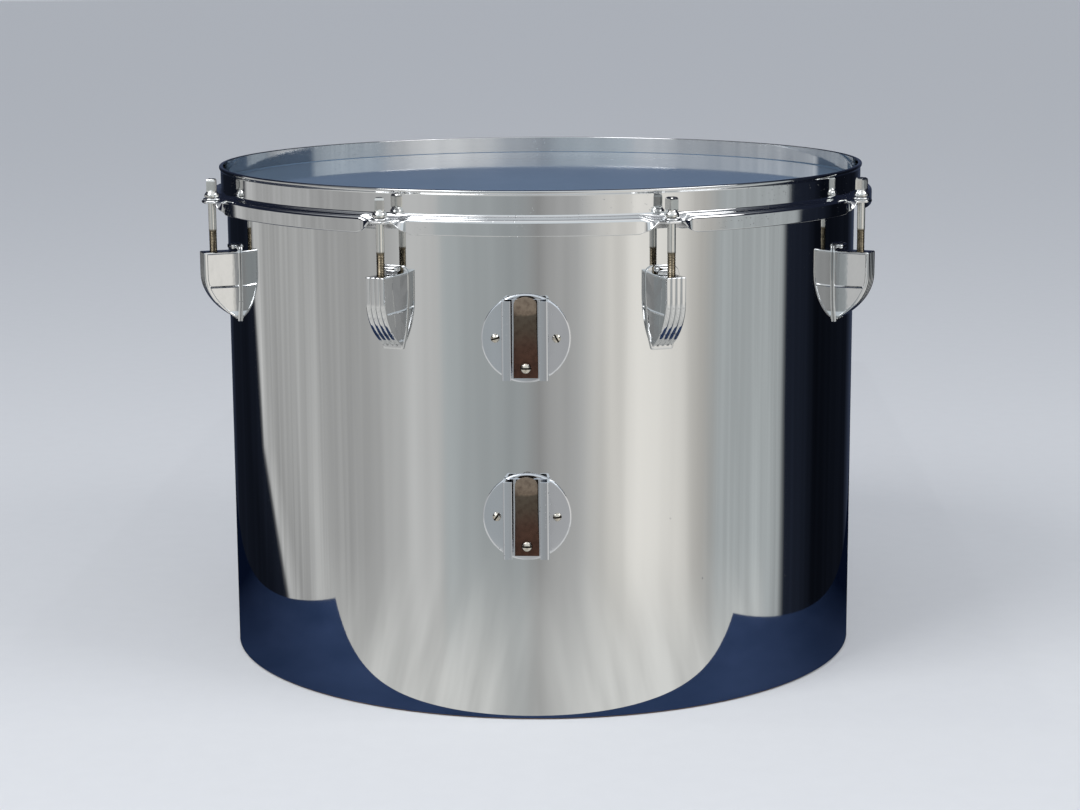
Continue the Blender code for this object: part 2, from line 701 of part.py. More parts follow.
def place_screw(name, mesh, azimuth, radius, height, slot_angle):
    """A screw with its head's underside at a radius, its shaft inwards and its slot turned."""
    obj = add_object(name, mesh, SCREW_METAL)
    turn = Matrix.Rotation(math.radians(slot_angle), 4, "Z")
    obj.matrix_world = on_drum(azimuth, radius, height) @ OUTWARD @ turn
    shade(obj)


def make_bracket_screws(where, height):
    side_head = DISC_OUTER + GAP
    nut_face = SHELL_INNER - 0.0010
    side_length = side_head - nut_face + 0.0050
    side = screw_blank(f"{where}_side_screw", SIDE_SCREW, side_length)
    bore = SIDE_SCREW[2] + GAP
    profile = [
        (HEX_NUT_RADIUS, 0.0),
        (HEX_NUT_RADIUS, -HEX_NUT_HEIGHT),
        (bore, -HEX_NUT_HEIGHT),
        (bore, 0.0),
    ]
    nut_mesh = finished(turned("nut", profile, SCREW_METAL, 6), f"{where}_side_nut", SCREW_METAL)
    for label, sign, slot in zip(("left", "right"), (-1, 1), SCREW_SLOT_ANGLES[where]):
        azimuth = sign * SIDE_SCREW_AZIMUTH
        place_screw(f"{where}_{label}_screw", side, azimuth, side_head, height, slot)
        nut = add_object(f"{where}_{label}_nut", nut_mesh, SCREW_METAL)
        nut.matrix_world = on_drum(azimuth, nut_face, height) @ OUTWARD
    leaf_face = LEAF_REST + LEAF_THICKNESS + GAP
    leaf = screw_blank(f"{where}_leaf_screw", LEAF_SCREW, 0.0040)
    place_screw(f"{where}_leaf_screw", leaf, 0.0, leaf_face, height - LEAF_SCREW_DROP, 0)


make_shell()
make_wrap()
make_drumhead()
make_flesh_hoop()
make_hoop()
make_washers()
make_rods()
make_lugs()
make_swivel_nuts()
make_lug_screws()
for bracket, bracket_height in BRACKET_HEIGHTS.items():
    make_bracket_plate(bracket, bracket_height)
    make_leaf_spring(bracket, bracket_height)
    make_bracket_screws(bracket, bracket_height)
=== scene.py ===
import math

import bmesh
import bpy
from mathutils import Matrix, Vector


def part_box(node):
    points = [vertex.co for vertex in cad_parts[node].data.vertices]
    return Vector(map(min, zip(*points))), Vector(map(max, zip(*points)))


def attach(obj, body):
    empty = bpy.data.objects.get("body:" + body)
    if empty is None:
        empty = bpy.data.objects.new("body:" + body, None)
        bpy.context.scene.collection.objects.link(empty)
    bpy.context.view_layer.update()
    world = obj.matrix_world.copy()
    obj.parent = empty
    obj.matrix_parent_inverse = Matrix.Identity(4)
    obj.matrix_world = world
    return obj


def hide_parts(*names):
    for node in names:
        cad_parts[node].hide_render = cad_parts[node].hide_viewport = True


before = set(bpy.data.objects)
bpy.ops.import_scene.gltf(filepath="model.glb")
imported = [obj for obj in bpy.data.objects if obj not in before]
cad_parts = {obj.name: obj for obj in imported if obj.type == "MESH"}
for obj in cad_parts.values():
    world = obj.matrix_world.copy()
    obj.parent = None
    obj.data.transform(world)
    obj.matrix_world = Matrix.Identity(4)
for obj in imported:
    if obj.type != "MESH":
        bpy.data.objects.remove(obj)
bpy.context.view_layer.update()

# Looks of a chrome-wrapped concert tom. Metres, +Z up, carrier brackets facing -Y, an azimuth measured
# from -Y towards +X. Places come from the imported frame. Each piece stands for one CAD node.

CAD_RING_STEPS = 64
FLAT = math.cos(math.pi / CAD_RING_STEPS)  # a faceted ring's box is this much smaller than its radius


def ring_radius(node):
    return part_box(node)[1].x / FLAT


def middle(node):
    low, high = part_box(node)
    return (low + high) / 2


# Shell and wrap
DRUM_RADIUS = ring_radius("chrome_wrap")
WRAP_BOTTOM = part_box("chrome_wrap")[0].z
WRAP_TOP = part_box("chrome_wrap")[1].z
WRAP_THICKNESS = 0.0004
SEAM_STEP = 0.00027
SEAM_RUN = math.radians(7)
SHELL_OUTER = ring_radius("shell")
SHELL_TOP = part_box("shell")[1].z
SHELL_WALL = 0.0066
SHELL_INNER = SHELL_OUTER - SHELL_WALL
EDGE_CHAMFER = 0.0015  # outside the crest of the shell's bearing edge
EDGE_FLAT = 0.0005
PLY_COUNT = 6

# Head
HEAD_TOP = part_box("drumhead_film")[1].z
FILM_EDGE = ring_radius("drumhead_film")
FILM_THICKNESS = 0.0003
FILM_FOLD = 0.0021
COLLAR_BOTTOM = 0.3285
STRUCK_RADIUS = 0.17  # mallet marks fade out towards here
FLESH_INNER = 0.2296

# Hoop: its sizes along the hoop are measured from the nearest rod
HOOP_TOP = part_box("hoop")[1].z
LIP_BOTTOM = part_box("hoop")[0].z
LIP_RADIUS = 0.2410
LIP_START = 0.2384  # where the flange bends into the lip
LIP_CORNER = 0.0062  # the lip's length where ear and lip meet
CORNER_ALONG = 0.0092  # where that corner is, along the hoop
LIP_FULL = 0.0215  # where the lip has its full length, along the hoop
WALL_OUTER = 0.2326
BEAD = 0.0010  # the wall's top edge stands out this much
SHEET = 0.0018
FLANGE_TOP = 0.3360
FLANGE_FALL = 0.0013  # the flange slopes down this much from the wall to the lip
EAR_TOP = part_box("washer_1")[0].z - 0.0003
EAR_LENGTH = 0.0128
EAR_STRAIGHT = 0.0035  # half the ear's full-length part, along the hoop
EAR_FLAT = 0.0074  # half the level part, along the hoop
EAR_END = 0.0168  # where the lip is fully turned down
DIP_END = 0.0195  # where the flange is back at its own height

# Lugs: heights are from the lug's bottom, and "out" is the distance from its seat
LUG_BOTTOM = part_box("lug_1")[0].z
LUG_SEAT = DRUM_RADIUS + 0.0002
LUG_DEPTH = 0.0244
LUG_COUNT = 8
LUG_AZIMUTHS = [math.radians(22.5) + i * math.tau / LUG_COUNT for i in range(LUG_COUNT)]
LUG_SCREW_HEIGHT = 0.0120
BODY_TOP = 0.0500
BODY_HALF = 0.0070
BODY_TURN = 0.0340
BODY_FOOT = 0.0020
RIBS = 4
RIB_HEIGHT = 0.0008
PANEL_SINK = 0.0009
PANEL_RIDGE = 0.0252  # height of the ridge across each side panel
SHIELD_TOP = 0.0555
SHIELD_HALF = 0.0120
SHIELD_THICKNESS = 0.0016
CURL_OUT = 0.0030
CURL_DROP = 0.0024  # the curl's middle is this far below the shield's top

# Rods
ROD_PLACE = middle("tension_rod_1")
ROD_CIRCLE = math.hypot(ROD_PLACE.x, ROD_PLACE.y)
ROD_OUT = ROD_CIRCLE - LUG_SEAT
ROD_RADIUS = 0.00275
ROD_COLLAR = 0.0021  # height of the collar's seat above the ear
ROD_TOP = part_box("tension_rod_1")[1].z
ROD_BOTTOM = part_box("tension_rod_1")[0].z
THREAD_TOP = 0.3128
THREAD_PITCH = 0.001058
THREAD_DEPTH = 0.00032
HEAD_HALF = 0.00315

# Screws
SLOT_HALF_WIDTH = 0.00055
SLOT_DEPTH = 0.0014

# Brackets: a leaf's heights are from its bracket's middle, and slot angles are in degrees
BRACKET_HEIGHTS = {where: middle(f"{where}_bracket").z for where in ("upper", "lower")}
DISC_GAP = 0.0003
DISC_THICKNESS = 0.0020
DISC_RADIUS = 0.0290
DISC_OUTER = DRUM_RADIUS + DISC_GAP + DISC_THICKNESS
CHANNEL_FACE = -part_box("upper_bracket")[0].y
CHANNEL_HALF = 0.01515
CHANNEL_SHEET = 0.0016
CHANNEL_HEIGHT = 0.0513
CHANNEL_WEB = 0.2322
SLOT_HALF = 0.0091
SIDE_SCREW_OUT = 0.0198  # from the bracket's middle
LEAF_SCREW_DROP = 0.0190  # below the bracket's middle
LEAF_SCREW_HOLE = 0.0023
LEAF_REST = CHANNEL_WEB + 0.0003
LEAF_THICKNESS = 0.0008
LEAF_BOTTOM = -0.0256
LEAF_FOOT = -0.0152  # where the leaf starts to bow
LEAF_BOW = 0.0062
LEAF_BEND = 0.0168
LEAF_TOP = 0.0280
SLOT_ANGLES = {"upper": {"left": 15, "right": -60}, "lower": {"left": 55, "right": 5}}

EASED = 0.0002  # bevel on a cut piece's edges
SHARP = math.radians(32)  # edges turned by more than this stay sharp


# Mesh helpers


def rounded(points, radius, steps=3, closed=True):
    """A polyline with each corner replaced by a small curve. A point may carry its own radius."""
    made = []
    count = len(points)
    for index, point in enumerate(points):
        corner = Vector(point[:2])
        size = point[2] if len(point) > 2 else radius
        if size == 0 or (not closed and index in (0, count - 1)):
            made.append(tuple(corner))
            continue
        before = Vector(points[index - 1][:2]) - corner
        after = Vector(points[(index + 1) % count][:2]) - corner
        reach = min(size, 0.48 * before.length, 0.48 * after.length)
        start = corner + before.normalized() * reach
        end = corner + after.normalized() * reach
        for step in range(steps + 1):
            t = step / steps
            made.append(tuple(start * (1 - t) ** 2 + corner * 2 * t * (1 - t) + end * t * t))
    return made


def loft(loops, wrap=False, caps=(True, True)):
    """A mesh through closed loops of equal length. wrap joins the last loop to the first; caps are fans."""
    work = bmesh.new()
    rings = [[work.verts.new(p) for p in loop] for loop in loops]
    count = len(loops[0])
    pairs = list(zip(rings, rings[1:]))
    if wrap:
        pairs.append((rings[-1], rings[0]))
    for low, high in pairs:
        for i in range(count):
            j = (i + 1) % count
            work.faces.new((low[i], low[j], high[j], high[i]))
    if not wrap:
        for ring, wanted in ((rings[0], caps[0]), (rings[-1], caps[1])):
            if not wanted:
                continue
            centre = work.verts.new(sum((v.co for v in ring), Vector()) / count)
            for i in range(count):
                work.faces.new((ring[i], ring[(i + 1) % count], centre))
    bmesh.ops.recalc_face_normals(work, faces=work.faces)
    return work


def lathe(profile, columns=32, radius_of=None):
    """A closed (radius, height) profile turned about Z. radius_of(azimuth) shifts the radius."""
    loops = []
    for column in range(columns):
        azimuth = math.tau * column / columns
        shift = radius_of(azimuth) if radius_of else 0.0
        across, outward = math.sin(azimuth), -math.cos(azimuth)
        loops.append([((r + shift) * across, (r + shift) * outward, z) for r, z in profile])
    return loft(loops, wrap=True)


def turned(profile, columns=32):
    """A solid about Z from a (radius, height) line that starts and ends on the axis."""
    inner = profile[1:-1]
    loops = []
    for r, z in inner:
        angles = [math.tau * c / columns for c in range(columns)]
        loops.append([(r * math.cos(a), r * math.sin(a), z) for a in angles])
    work = loft(loops, caps=(False, False))
    work.verts.ensure_lookup_table()
    for (r, z), start in ((profile[0], 0), (profile[-1], (len(inner) - 1) * columns)):
        tip = work.verts.new((0.0, 0.0, z))
        work.verts.ensure_lookup_table()
        ring = work.verts[start:start + columns]
        for i in range(columns):
            work.faces.new((ring[i], ring[(i + 1) % columns], tip))
    bmesh.ops.recalc_face_normals(work, faces=work.faces)
    return work


def to_mesh(work, name):
    mesh = bpy.data.meshes.new(name)
    work.to_mesh(mesh)
    work.free()
    return mesh


def place_object(name, mesh, matrix=None):
    obj = bpy.data.objects.new(name, mesh)
    bpy.context.scene.collection.objects.link(obj)
    if matrix is not None:
        obj.matrix_world = matrix
    return obj


def combined(mesh, tools):
    """The mesh after Booleans with (tool mesh, operation) pairs."""
    base = place_object("work_base", mesh)
    helpers = []
    for tool, operation in tools:
        helper = place_object("work_tool", tool)
        helpers.append(helper)
        step = base.modifiers.new("step", "BOOLEAN")
        step.object = helper
        step.operation = operation
        step.solver = "EXACT"
    bpy.context.view_layer.update()
    graph = bpy.context.evaluated_depsgraph_get()
    made = bpy.data.meshes.new_from_object(base.evaluated_get(graph))
    for obj in [base, *helpers]:
        bpy.data.objects.remove(obj)
    return made


def cylinder_mesh(radius, low, high, columns=24, matrix=None):
    work = turned([(0, low), (radius, low), (radius, high), (0, high)], columns)
    mesh = to_mesh(work, "cylinder_tool")
    if matrix is not None:
        mesh.transform(matrix)
    return mesh


def box_mesh(low, high):
    work = bmesh.new()
    bmesh.ops.create_cube(work, size=1.0)
    size = Vector(high) - Vector(low)
    centre = (Vector(high) + Vector(low)) / 2
    mesh = to_mesh(work, "box_tool")
    mesh.transform(Matrix.Translation(centre) @ Matrix.Diagonal((*size, 1.0)))
    return mesh


def on_drum(azimuth, radius, height):
    turn = Matrix.Rotation(azimuth, 4, "Z")
    return turn @ Matrix.Translation((0.0, -radius, height))


OUTWARD = Matrix.Rotation(math.pi / 2, 4, "X")  # +Z becomes -Y


def piece(name, mesh, material, body, node, matrix=None, bevel=0.0):
    """A finished piece: its material and smooth shading, the body it rides on and the node it stands for."""
    obj = place_object(name, mesh, matrix)
    mesh.materials.clear()
    mesh.materials.append(material)
    mesh.shade_smooth()
    mesh.set_sharp_from_angle(angle=SHARP)
    if bevel:
        edge = obj.modifiers.new("edge", "BEVEL")
        edge.width = bevel
        edge.segments = 2
        edge.limit_method = "ANGLE"
        edge.angle_limit = SHARP
    normals = obj.modifiers.new("normals", "WEIGHTED_NORMAL")
    normals.keep_sharp = True
    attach(obj, body)
    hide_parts(node)
    return obj


# Material helpers


class Nodes:
    """A node tree with a short way to add nodes. What feeds a socket is a number, a colour or an output."""

    def __init__(self, tree):
        self.tree = tree

    def feed(self, socket, value):
        if isinstance(value, (int, float)):
            socket.default_value = value
        elif isinstance(value, tuple):
            socket.default_value = (*value, 1.0)
        else:
            self.tree.links.new(value, socket)

    def node(self, kind, feeds=(), **settings):
        """A new node with its settings and, by socket name or number, what feeds it."""
        made = self.tree.nodes.new(kind)
        for key, value in settings.items():
            setattr(made, key, value)
        for socket, value in dict(feeds).items():
            self.feed(made.inputs[socket], value)
        return made

    def maths(self, operation, *values):
        return self.node("ShaderNodeMath", enumerate(values), operation=operation).outputs["Value"]

    def spread(self, source, low, high, out_low, out_high, kind="LINEAR"):
        feeds = {"Value": source, "From Min": low, "From Max": high, "To Min": out_low, "To Max": out_high}
        return self.node("ShaderNodeMapRange", feeds, interpolation_type=kind).outputs["Result"]

    def mixed(self, factor, a, b, blend_type="MIX"):
        feeds = {"Factor": factor, "A": a, "B": b}
        return self.node("ShaderNodeMix", feeds, data_type="RGBA", blend_type=blend_type).outputs["Result"]

    def colours(self, source, stops):
        made = self.node("ShaderNodeValToRGB", {"Fac": source})
        elements = made.color_ramp.elements
        for position, _ in stops[1:-1]:
            elements.new(position)
        for element, (position, colour) in zip(elements, stops):
            element.position = position
            element.color = (*colour, 1.0)
        return made.outputs["Color"]


class Shader(Nodes):
    """A material's node tree, about its main shader and the object's own coordinates."""

    def __init__(self, name, colour, roughness, metallic):
        self.material = bpy.data.materials.new(name)
        self.material.use_nodes = True
        super().__init__(self.material.node_tree)
        self.shader = self.tree.nodes["Principled BSDF"]
        self.drive("Base Color", colour)
        self.drive("Roughness", roughness)
        self.drive("Metallic", metallic)
        self.place = self.node("ShaderNodeTexCoord").outputs["Object"]

    def drive(self, socket, source):
        self.feed(self.shader.inputs[socket], source)

    def noise(self, scale, detail=3.0, stretch=(1, 1, 1), distortion=0.0):
        mapping = self.node("ShaderNodeMapping", {"Vector": self.place})
        mapping.inputs["Scale"].default_value = stretch
        place = mapping.outputs["Vector"]
        feeds = {"Scale": scale, "Detail": detail, "Distortion": distortion, "Vector": place}
        return self.node("ShaderNodeTexNoise", feeds).outputs["Fac"]

    def pits(self, scale, size):
        """One where a cell's middle is nearer than size, else zero."""
        cells = self.node("ShaderNodeTexVoronoi", {"Scale": scale, "Vector": self.place})
        return self.spread(cells.outputs["Distance"], size * 0.6, size, 1.0, 0.0)

    def axis(self, letter):
        return self.node("ShaderNodeSeparateXYZ", {"Vector": self.place}).outputs[letter]

    def radius(self):
        squares = [self.maths("POWER", self.axis(letter), 2.0) for letter in ("X", "Y")]
        return self.maths("SQRT", self.maths("ADD", *squares))

    def bump(self, height, strength, distance):
        made = self.node("ShaderNodeBump", {"Strength": strength, "Distance": distance, "Height": height})
        previous = self.shader.inputs["Normal"]
        if previous.is_linked:
            self.feed(made.inputs["Normal"], previous.links[0].from_socket)
        self.feed(previous, made.outputs["Normal"])


def chrome_material(name, colour, rough, pit_share, wave):
    """Plated metal: a slow swell in the reflections, fine wiping marks, and small pits in the plating."""
    make = Shader(name, colour, rough, 1.0)
    haze = make.noise(26.0, 4.0)
    marks = make.noise(900.0, 2.0, (1.0, 1.0, 0.05))
    roughness = make.spread(haze, 0.35, 0.75, rough * 0.6, rough * 1.9)
    pits = make.pits(420.0, pit_share)
    patch = make.spread(make.noise(40.0, 2.0), 0.52, 0.62, 0.0, 1.0)
    pits = make.maths("MULTIPLY", pits, patch)
    make.drive("Roughness", make.maths("ADD", roughness, make.maths("MULTIPLY", pits, 0.35)))
    worn = tuple(c * 0.42 for c in colour)
    make.drive("Base Color", make.mixed(pits, colour, worn))
    wave_scale, wave_strength = wave
    make.bump(make.noise(wave_scale, 2.0), wave_strength, 0.001)
    make.bump(marks, 0.02, 0.0002)
    make.bump(make.maths("MULTIPLY", pits, -1.0), 0.35, 0.0002)
    return make.material


def wrap_material():
    """The mirror sheet on the shell: almost perfect, with a long swell, faint hairlines and a few nicks."""
    colour = (0.70, 0.71, 0.715)
    make = Shader("chrome_sheet", colour, 0.03, 1.0)
    haze = make.noise(9.0, 5.0, (1.0, 1.0, 0.35))
    make.drive("Roughness", make.spread(haze, 0.35, 0.75, 0.018, 0.062))
    nicks = make.pits(38.0, 0.018)
    patch = make.spread(make.noise(7.0, 1.0), 0.56, 0.60, 0.0, 1.0)
    nicks = make.maths("MULTIPLY", nicks, patch)
    make.drive("Base Color", make.mixed(nicks, colour, (0.30, 0.30, 0.31)))
    make.bump(make.noise(11.0, 1.0, (1.0, 1.0, 0.30)), 0.10, 0.004)
    make.bump(make.noise(1400.0, 2.0, (1.0, 1.0, 0.02)), 0.012, 0.0002)
    make.bump(make.maths("MULTIPLY", nicks, -1.0), 0.4, 0.0003)
    return make.material


def wood_material():
    """Plywood: plies show on cut edges, grain runs round the shell, with a thin sealer."""
    make = Shader("shell_ply", (0.5, 0.34, 0.19), 0.5, 0.0)
    across = make.spread(make.radius(), SHELL_INNER, SHELL_OUTER, 0.02, PLY_COUNT - 0.02)
    ply = make.maths("FRACT", make.maths("MULTIPLY", across, 0.5))
    layer = make.maths("GREATER_THAN", ply, 0.5)
    grain = make.noise(60.0, 6.0, (1.0, 1.0, 9.0), 0.6)
    pale_stops = [(0.25, (0.42, 0.27, 0.14)), (0.5, (0.56, 0.39, 0.22)), (0.8, (0.66, 0.48, 0.29))]
    dark_stops = [(0.3, (0.26, 0.15, 0.075)), (0.7, (0.38, 0.235, 0.12))]
    light = make.colours(grain, pale_stops)
    dark = make.colours(grain, dark_stops)
    make.drive("Base Color", make.mixed(layer, light, dark))
    make.drive("Roughness", make.spread(grain, 0.3, 0.8, 0.38, 0.62))
    make.drive("Coat Weight", 0.15)
    make.drive("Coat Roughness", 0.3)
    make.bump(grain, 0.15, 0.0006)
    return make.material


def film_material():
    """The drumhead: a smooth blue-grey plastic film with a clear gloss and a few faint mallet marks."""
    make = Shader("head_film", (0.30, 0.43, 0.60), 0.3, 0.0)
    cloud = make.noise(14.0, 4.0)
    blues = [(0.3, (0.292, 0.420, 0.588)), (0.7, (0.308, 0.440, 0.612))]
    make.drive("Base Color", make.colours(cloud, blues))
    fading = make.spread(make.radius(), 0.02, STRUCK_RADIUS, 0.08, 0.0)
    struck = make.maths("MULTIPLY", fading, make.noise(75.0, 5.0))
    roughness = make.maths("ADD", make.spread(cloud, 0.3, 0.8, 0.02, 0.06), struck)
    make.drive("Coat Roughness", roughness)
    make.drive("Coat Weight", 1.0)
    make.drive("Coat IOR", 1.6)
    make.drive("Specular IOR Level", 0.1)
    make.bump(make.noise(500.0, 2.0), 0.03, 0.0002)
    return make.material


def leaf_material():
    """Spring brass: tan above the bend, dark below it, reddish towards the foot."""
    make = Shader("leaf_brass", (0.1, 0.07, 0.05), 0.35, 0.85)
    patch = make.noise(70.0, 5.0, (1.0, 1.0, 0.6), 0.4)
    height = make.maths("ADD", make.axis("Z"), make.spread(patch, 0.3, 0.7, -0.003, 0.003))
    tone = make.spread(height, LEAF_BOTTOM, LEAF_TOP, 0.0, 1.0)
    bend = (LEAF_BEND - LEAF_BOTTOM) / (LEAF_TOP - LEAF_BOTTOM)
    stops = [
        (0.05, (0.105, 0.050, 0.034)),
        (0.35, (0.100, 0.055, 0.040)),
        (0.60, (0.105, 0.080, 0.060)),
        (bend - 0.01, (0.120, 0.098, 0.075)),
        (bend + 0.02, (0.250, 0.190, 0.140)),
        (1.00, (0.210, 0.165, 0.125)),
    ]
    tones_by_height = make.colours(tone, stops)
    spots = make.spread(make.noise(260.0, 3.0), 0.45, 0.75, 0.0, 0.6)
    make.drive("Base Color", make.mixed(spots, tones_by_height, (0.05, 0.028, 0.020)))
    make.drive("Roughness", make.spread(patch, 0.3, 0.8, 0.26, 0.55))
    make.bump(patch, 0.10, 0.0004)
    make.bump(make.noise(700.0, 3.0), 0.08, 0.0001)
    return make.material


def rod_material():
    """Plated rod: bright above, tarnished brown on the thread."""
    colour = (0.72, 0.72, 0.70)
    make = Shader("rod_plate", colour, 0.16, 1.0)
    thread_top = THREAD_TOP - EAR_TOP
    worn = make.spread(make.axis("Z"), thread_top - 0.0008, thread_top + 0.0004, 1.0, 0.0)
    browns = [(0.3, (0.10, 0.085, 0.06)), (0.6, (0.18, 0.15, 0.105)), (0.8, (0.34, 0.30, 0.24))]
    stain = make.colours(make.noise(260.0, 4.0), browns)
    make.drive("Base Color", make.mixed(worn, colour, stain))
    grime = make.spread(make.noise(180.0, 3.0), 0.35, 0.75, 0.10, 0.28)
    make.drive("Roughness", make.maths("ADD", grime, make.maths("MULTIPLY", worn, 0.16)))
    make.bump(make.noise(1200.0, 2.0), 0.05, 0.0001)
    return make.material


def plain_metal(name, colour, rough, spots, dark=0.55):
    """Dull or worn plating with uneven gloss, darker patches and a fine grain."""
    make = Shader(name, colour, rough, 1.0)
    patch = make.noise(spots, 4.0)
    darker = tuple(c * dark for c in colour)
    make.drive("Base Color", make.colours(patch, [(0.32, darker), (0.55, colour)]))
    make.drive("Roughness", make.spread(patch, 0.3, 0.8, rough * 1.6, rough * 0.7))
    make.bump(make.noise(spots * 6, 3.0), 0.06, 0.0001)
    return make.material


def screw_material():
    """Worn nickel with dirt and painted shade in the slot, which runs along X: the slot is painted near-black
    and made rougher.
    """
    colour = (0.70, 0.66, 0.58)
    make = Shader("screw_nickel", colour, 0.18, 1.0)
    # painted shade and dirt: everything inside the slot is painted near-black
    inside = make.maths("LESS_THAN", make.maths("ABSOLUTE", make.axis("Y")), SLOT_HALF_WIDTH + 0.00004)
    slot_shade_and_dirt = make.maths("MULTIPLY", inside, make.maths("GREATER_THAN", make.axis("Z"), 0.0002))
    patch = make.noise(420.0, 4.0)
    bare = make.colours(patch, [(0.32, (0.45, 0.40, 0.33)), (0.5, colour)])
    make.drive("Base Color", make.mixed(slot_shade_and_dirt, bare, (0.045, 0.035, 0.028)))
    roughness = make.spread(patch, 0.3, 0.8, 0.24, 0.12)
    make.drive("Roughness", make.maths("ADD", roughness, make.maths("MULTIPLY", slot_shade_and_dirt, 0.5)))
    return make.material


CHROME = chrome_material("plated_chrome", (0.70, 0.71, 0.72), 0.045, 0.16, (30.0, 0.05))
LUG_CHROME = chrome_material("cast_chrome", (0.68, 0.69, 0.70), 0.07, 0.22, (120.0, 0.08))
BRACKET_CHROME = chrome_material("bracket_chrome", (0.70, 0.72, 0.76), 0.05, 0.16, (30.0, 0.05))
WRAP = wrap_material()
WOOD = wood_material()
FILM = film_material()
LEAF = leaf_material()
ROD = rod_material()
NICKEL = plain_metal("worn_nickel", (0.66, 0.62, 0.54), 0.22, 420.0)
SCREW = screw_material()
ALUMINIUM = plain_metal("dull_aluminium", (0.66, 0.66, 0.67), 0.40, 60.0, 0.94)
BRASS = plain_metal("nut_brass", (0.60, 0.45, 0.22), 0.32, 200.0)


# Shell, wrap and head


def make_shell():
    """The bearing edge has a narrow flat crest, a small chamfer outside and a 45 degree slope inside."""
    edge = SHELL_OUTER - EDGE_CHAMFER
    crest = edge - EDGE_FLAT
    slope = crest - SHELL_INNER
    outline = [
        (edge, SHELL_TOP, 0.0006),
        (SHELL_OUTER, SHELL_TOP - EDGE_CHAMFER),
        (SHELL_OUTER, 0.0),
        (SHELL_INNER, 0.0),
        (SHELL_INNER, SHELL_TOP - slope),
        (crest, SHELL_TOP, 0.0002),
    ]
    profile = rounded(outline, 0.0008)
    piece("wood_shell", to_mesh(lathe(profile, 256), "wood_shell"), WOOD, "drum", "shell")


def seam_shift(azimuth):
    """The sheet's outer end laps over its inner end at the back: a small step, then a slow rise."""
    past = azimuth - math.pi
    if 0.0 <= past < SEAM_RUN:
        return -SEAM_STEP * (1 - past / SEAM_RUN) ** 2
    return 0.0


def make_wrap():
    inner = DRUM_RADIUS - WRAP_THICKNESS
    outline = [(DRUM_RADIUS, WRAP_TOP), (DRUM_RADIUS, WRAP_BOTTOM), (inner, WRAP_BOTTOM), (inner, WRAP_TOP)]
    profile = rounded(outline, 0.00012, 2)
    mesh = to_mesh(lathe(profile, 720, seam_shift), "wrap_sheet")
    piece("wrap_sheet", mesh, WRAP, "drum", "chrome_wrap")


def make_head():
    """The film is flat on top and folds down into a collar at its edge."""
    under = FILM_THICKNESS
    inner_fold = FILM_FOLD + 0.0001
    bend, inner_bend = 0.0016, 0.0014
    outline = [
        (FILM_EDGE - FILM_FOLD, HEAD_TOP, bend),
        (FILM_EDGE, HEAD_TOP - FILM_FOLD, bend),
        (FILM_EDGE, COLLAR_BOTTOM, 0.0),
        (FILM_EDGE - under, COLLAR_BOTTOM, 0.0),
        (FILM_EDGE - under, HEAD_TOP - inner_fold, inner_bend),
        (FILM_EDGE - inner_fold, HEAD_TOP - under, inner_bend),
    ]
    line = rounded(outline, bend, 5, closed=False)
    spokes = [0.05, 0.10, 0.15, 0.20, 0.22]
    top = [(0.0, HEAD_TOP)] + [(r, HEAD_TOP) for r in spokes]
    below = [(r, HEAD_TOP - under) for r in spokes[::-1]] + [(0.0, HEAD_TOP - under)]
    mesh = to_mesh(turned(top + line + below, 256), "head_film")
    piece("head_film", mesh, FILM, "drum", "drumhead_film")


def make_flesh_hoop():
    """The ring's top slopes outwards, because the hoop's flange dips to the ears."""
    low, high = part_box("flesh_hoop")
    outer = high.x / FLAT
    shoulder = EAR_TOP - SHEET - 0.0004
    outline = [
        (outer, shoulder),
        (outer, low.z),
        (FLESH_INNER, low.z),
        (FLESH_INNER, high.z),
        (WALL_OUTER - SHEET, high.z),
        (WALL_OUTER + 0.0019, shoulder),
    ]
    profile = rounded(outline, 0.0009, 4)
    mesh = to_mesh(lathe(profile, 192), "flesh_ring")
    piece("flesh_ring", mesh, ALUMINIUM, "drum", "flesh_hoop")


# Hoop: sheet metal whose lip is turned down between the rods and left level as an ear at each rod


def smooth(t):
    t = min(max(t, 0.0), 1.0)
    return t * t * (3 - 2 * t)


def blend(a, b, t):
    return a + (b - a) * t


def lip_length(along, full):
    """How far the sheet runs past the bend, at a distance along the hoop from the nearest rod."""
    if along < CORNER_ALONG:
        share = smooth((along - EAR_STRAIGHT) / (CORNER_ALONG - EAR_STRAIGHT))
        return blend(EAR_LENGTH, LIP_CORNER, share**1.3)
    return blend(LIP_CORNER, full, smooth((along - CORNER_ALONG) / (LIP_FULL - CORNER_ALONG)))


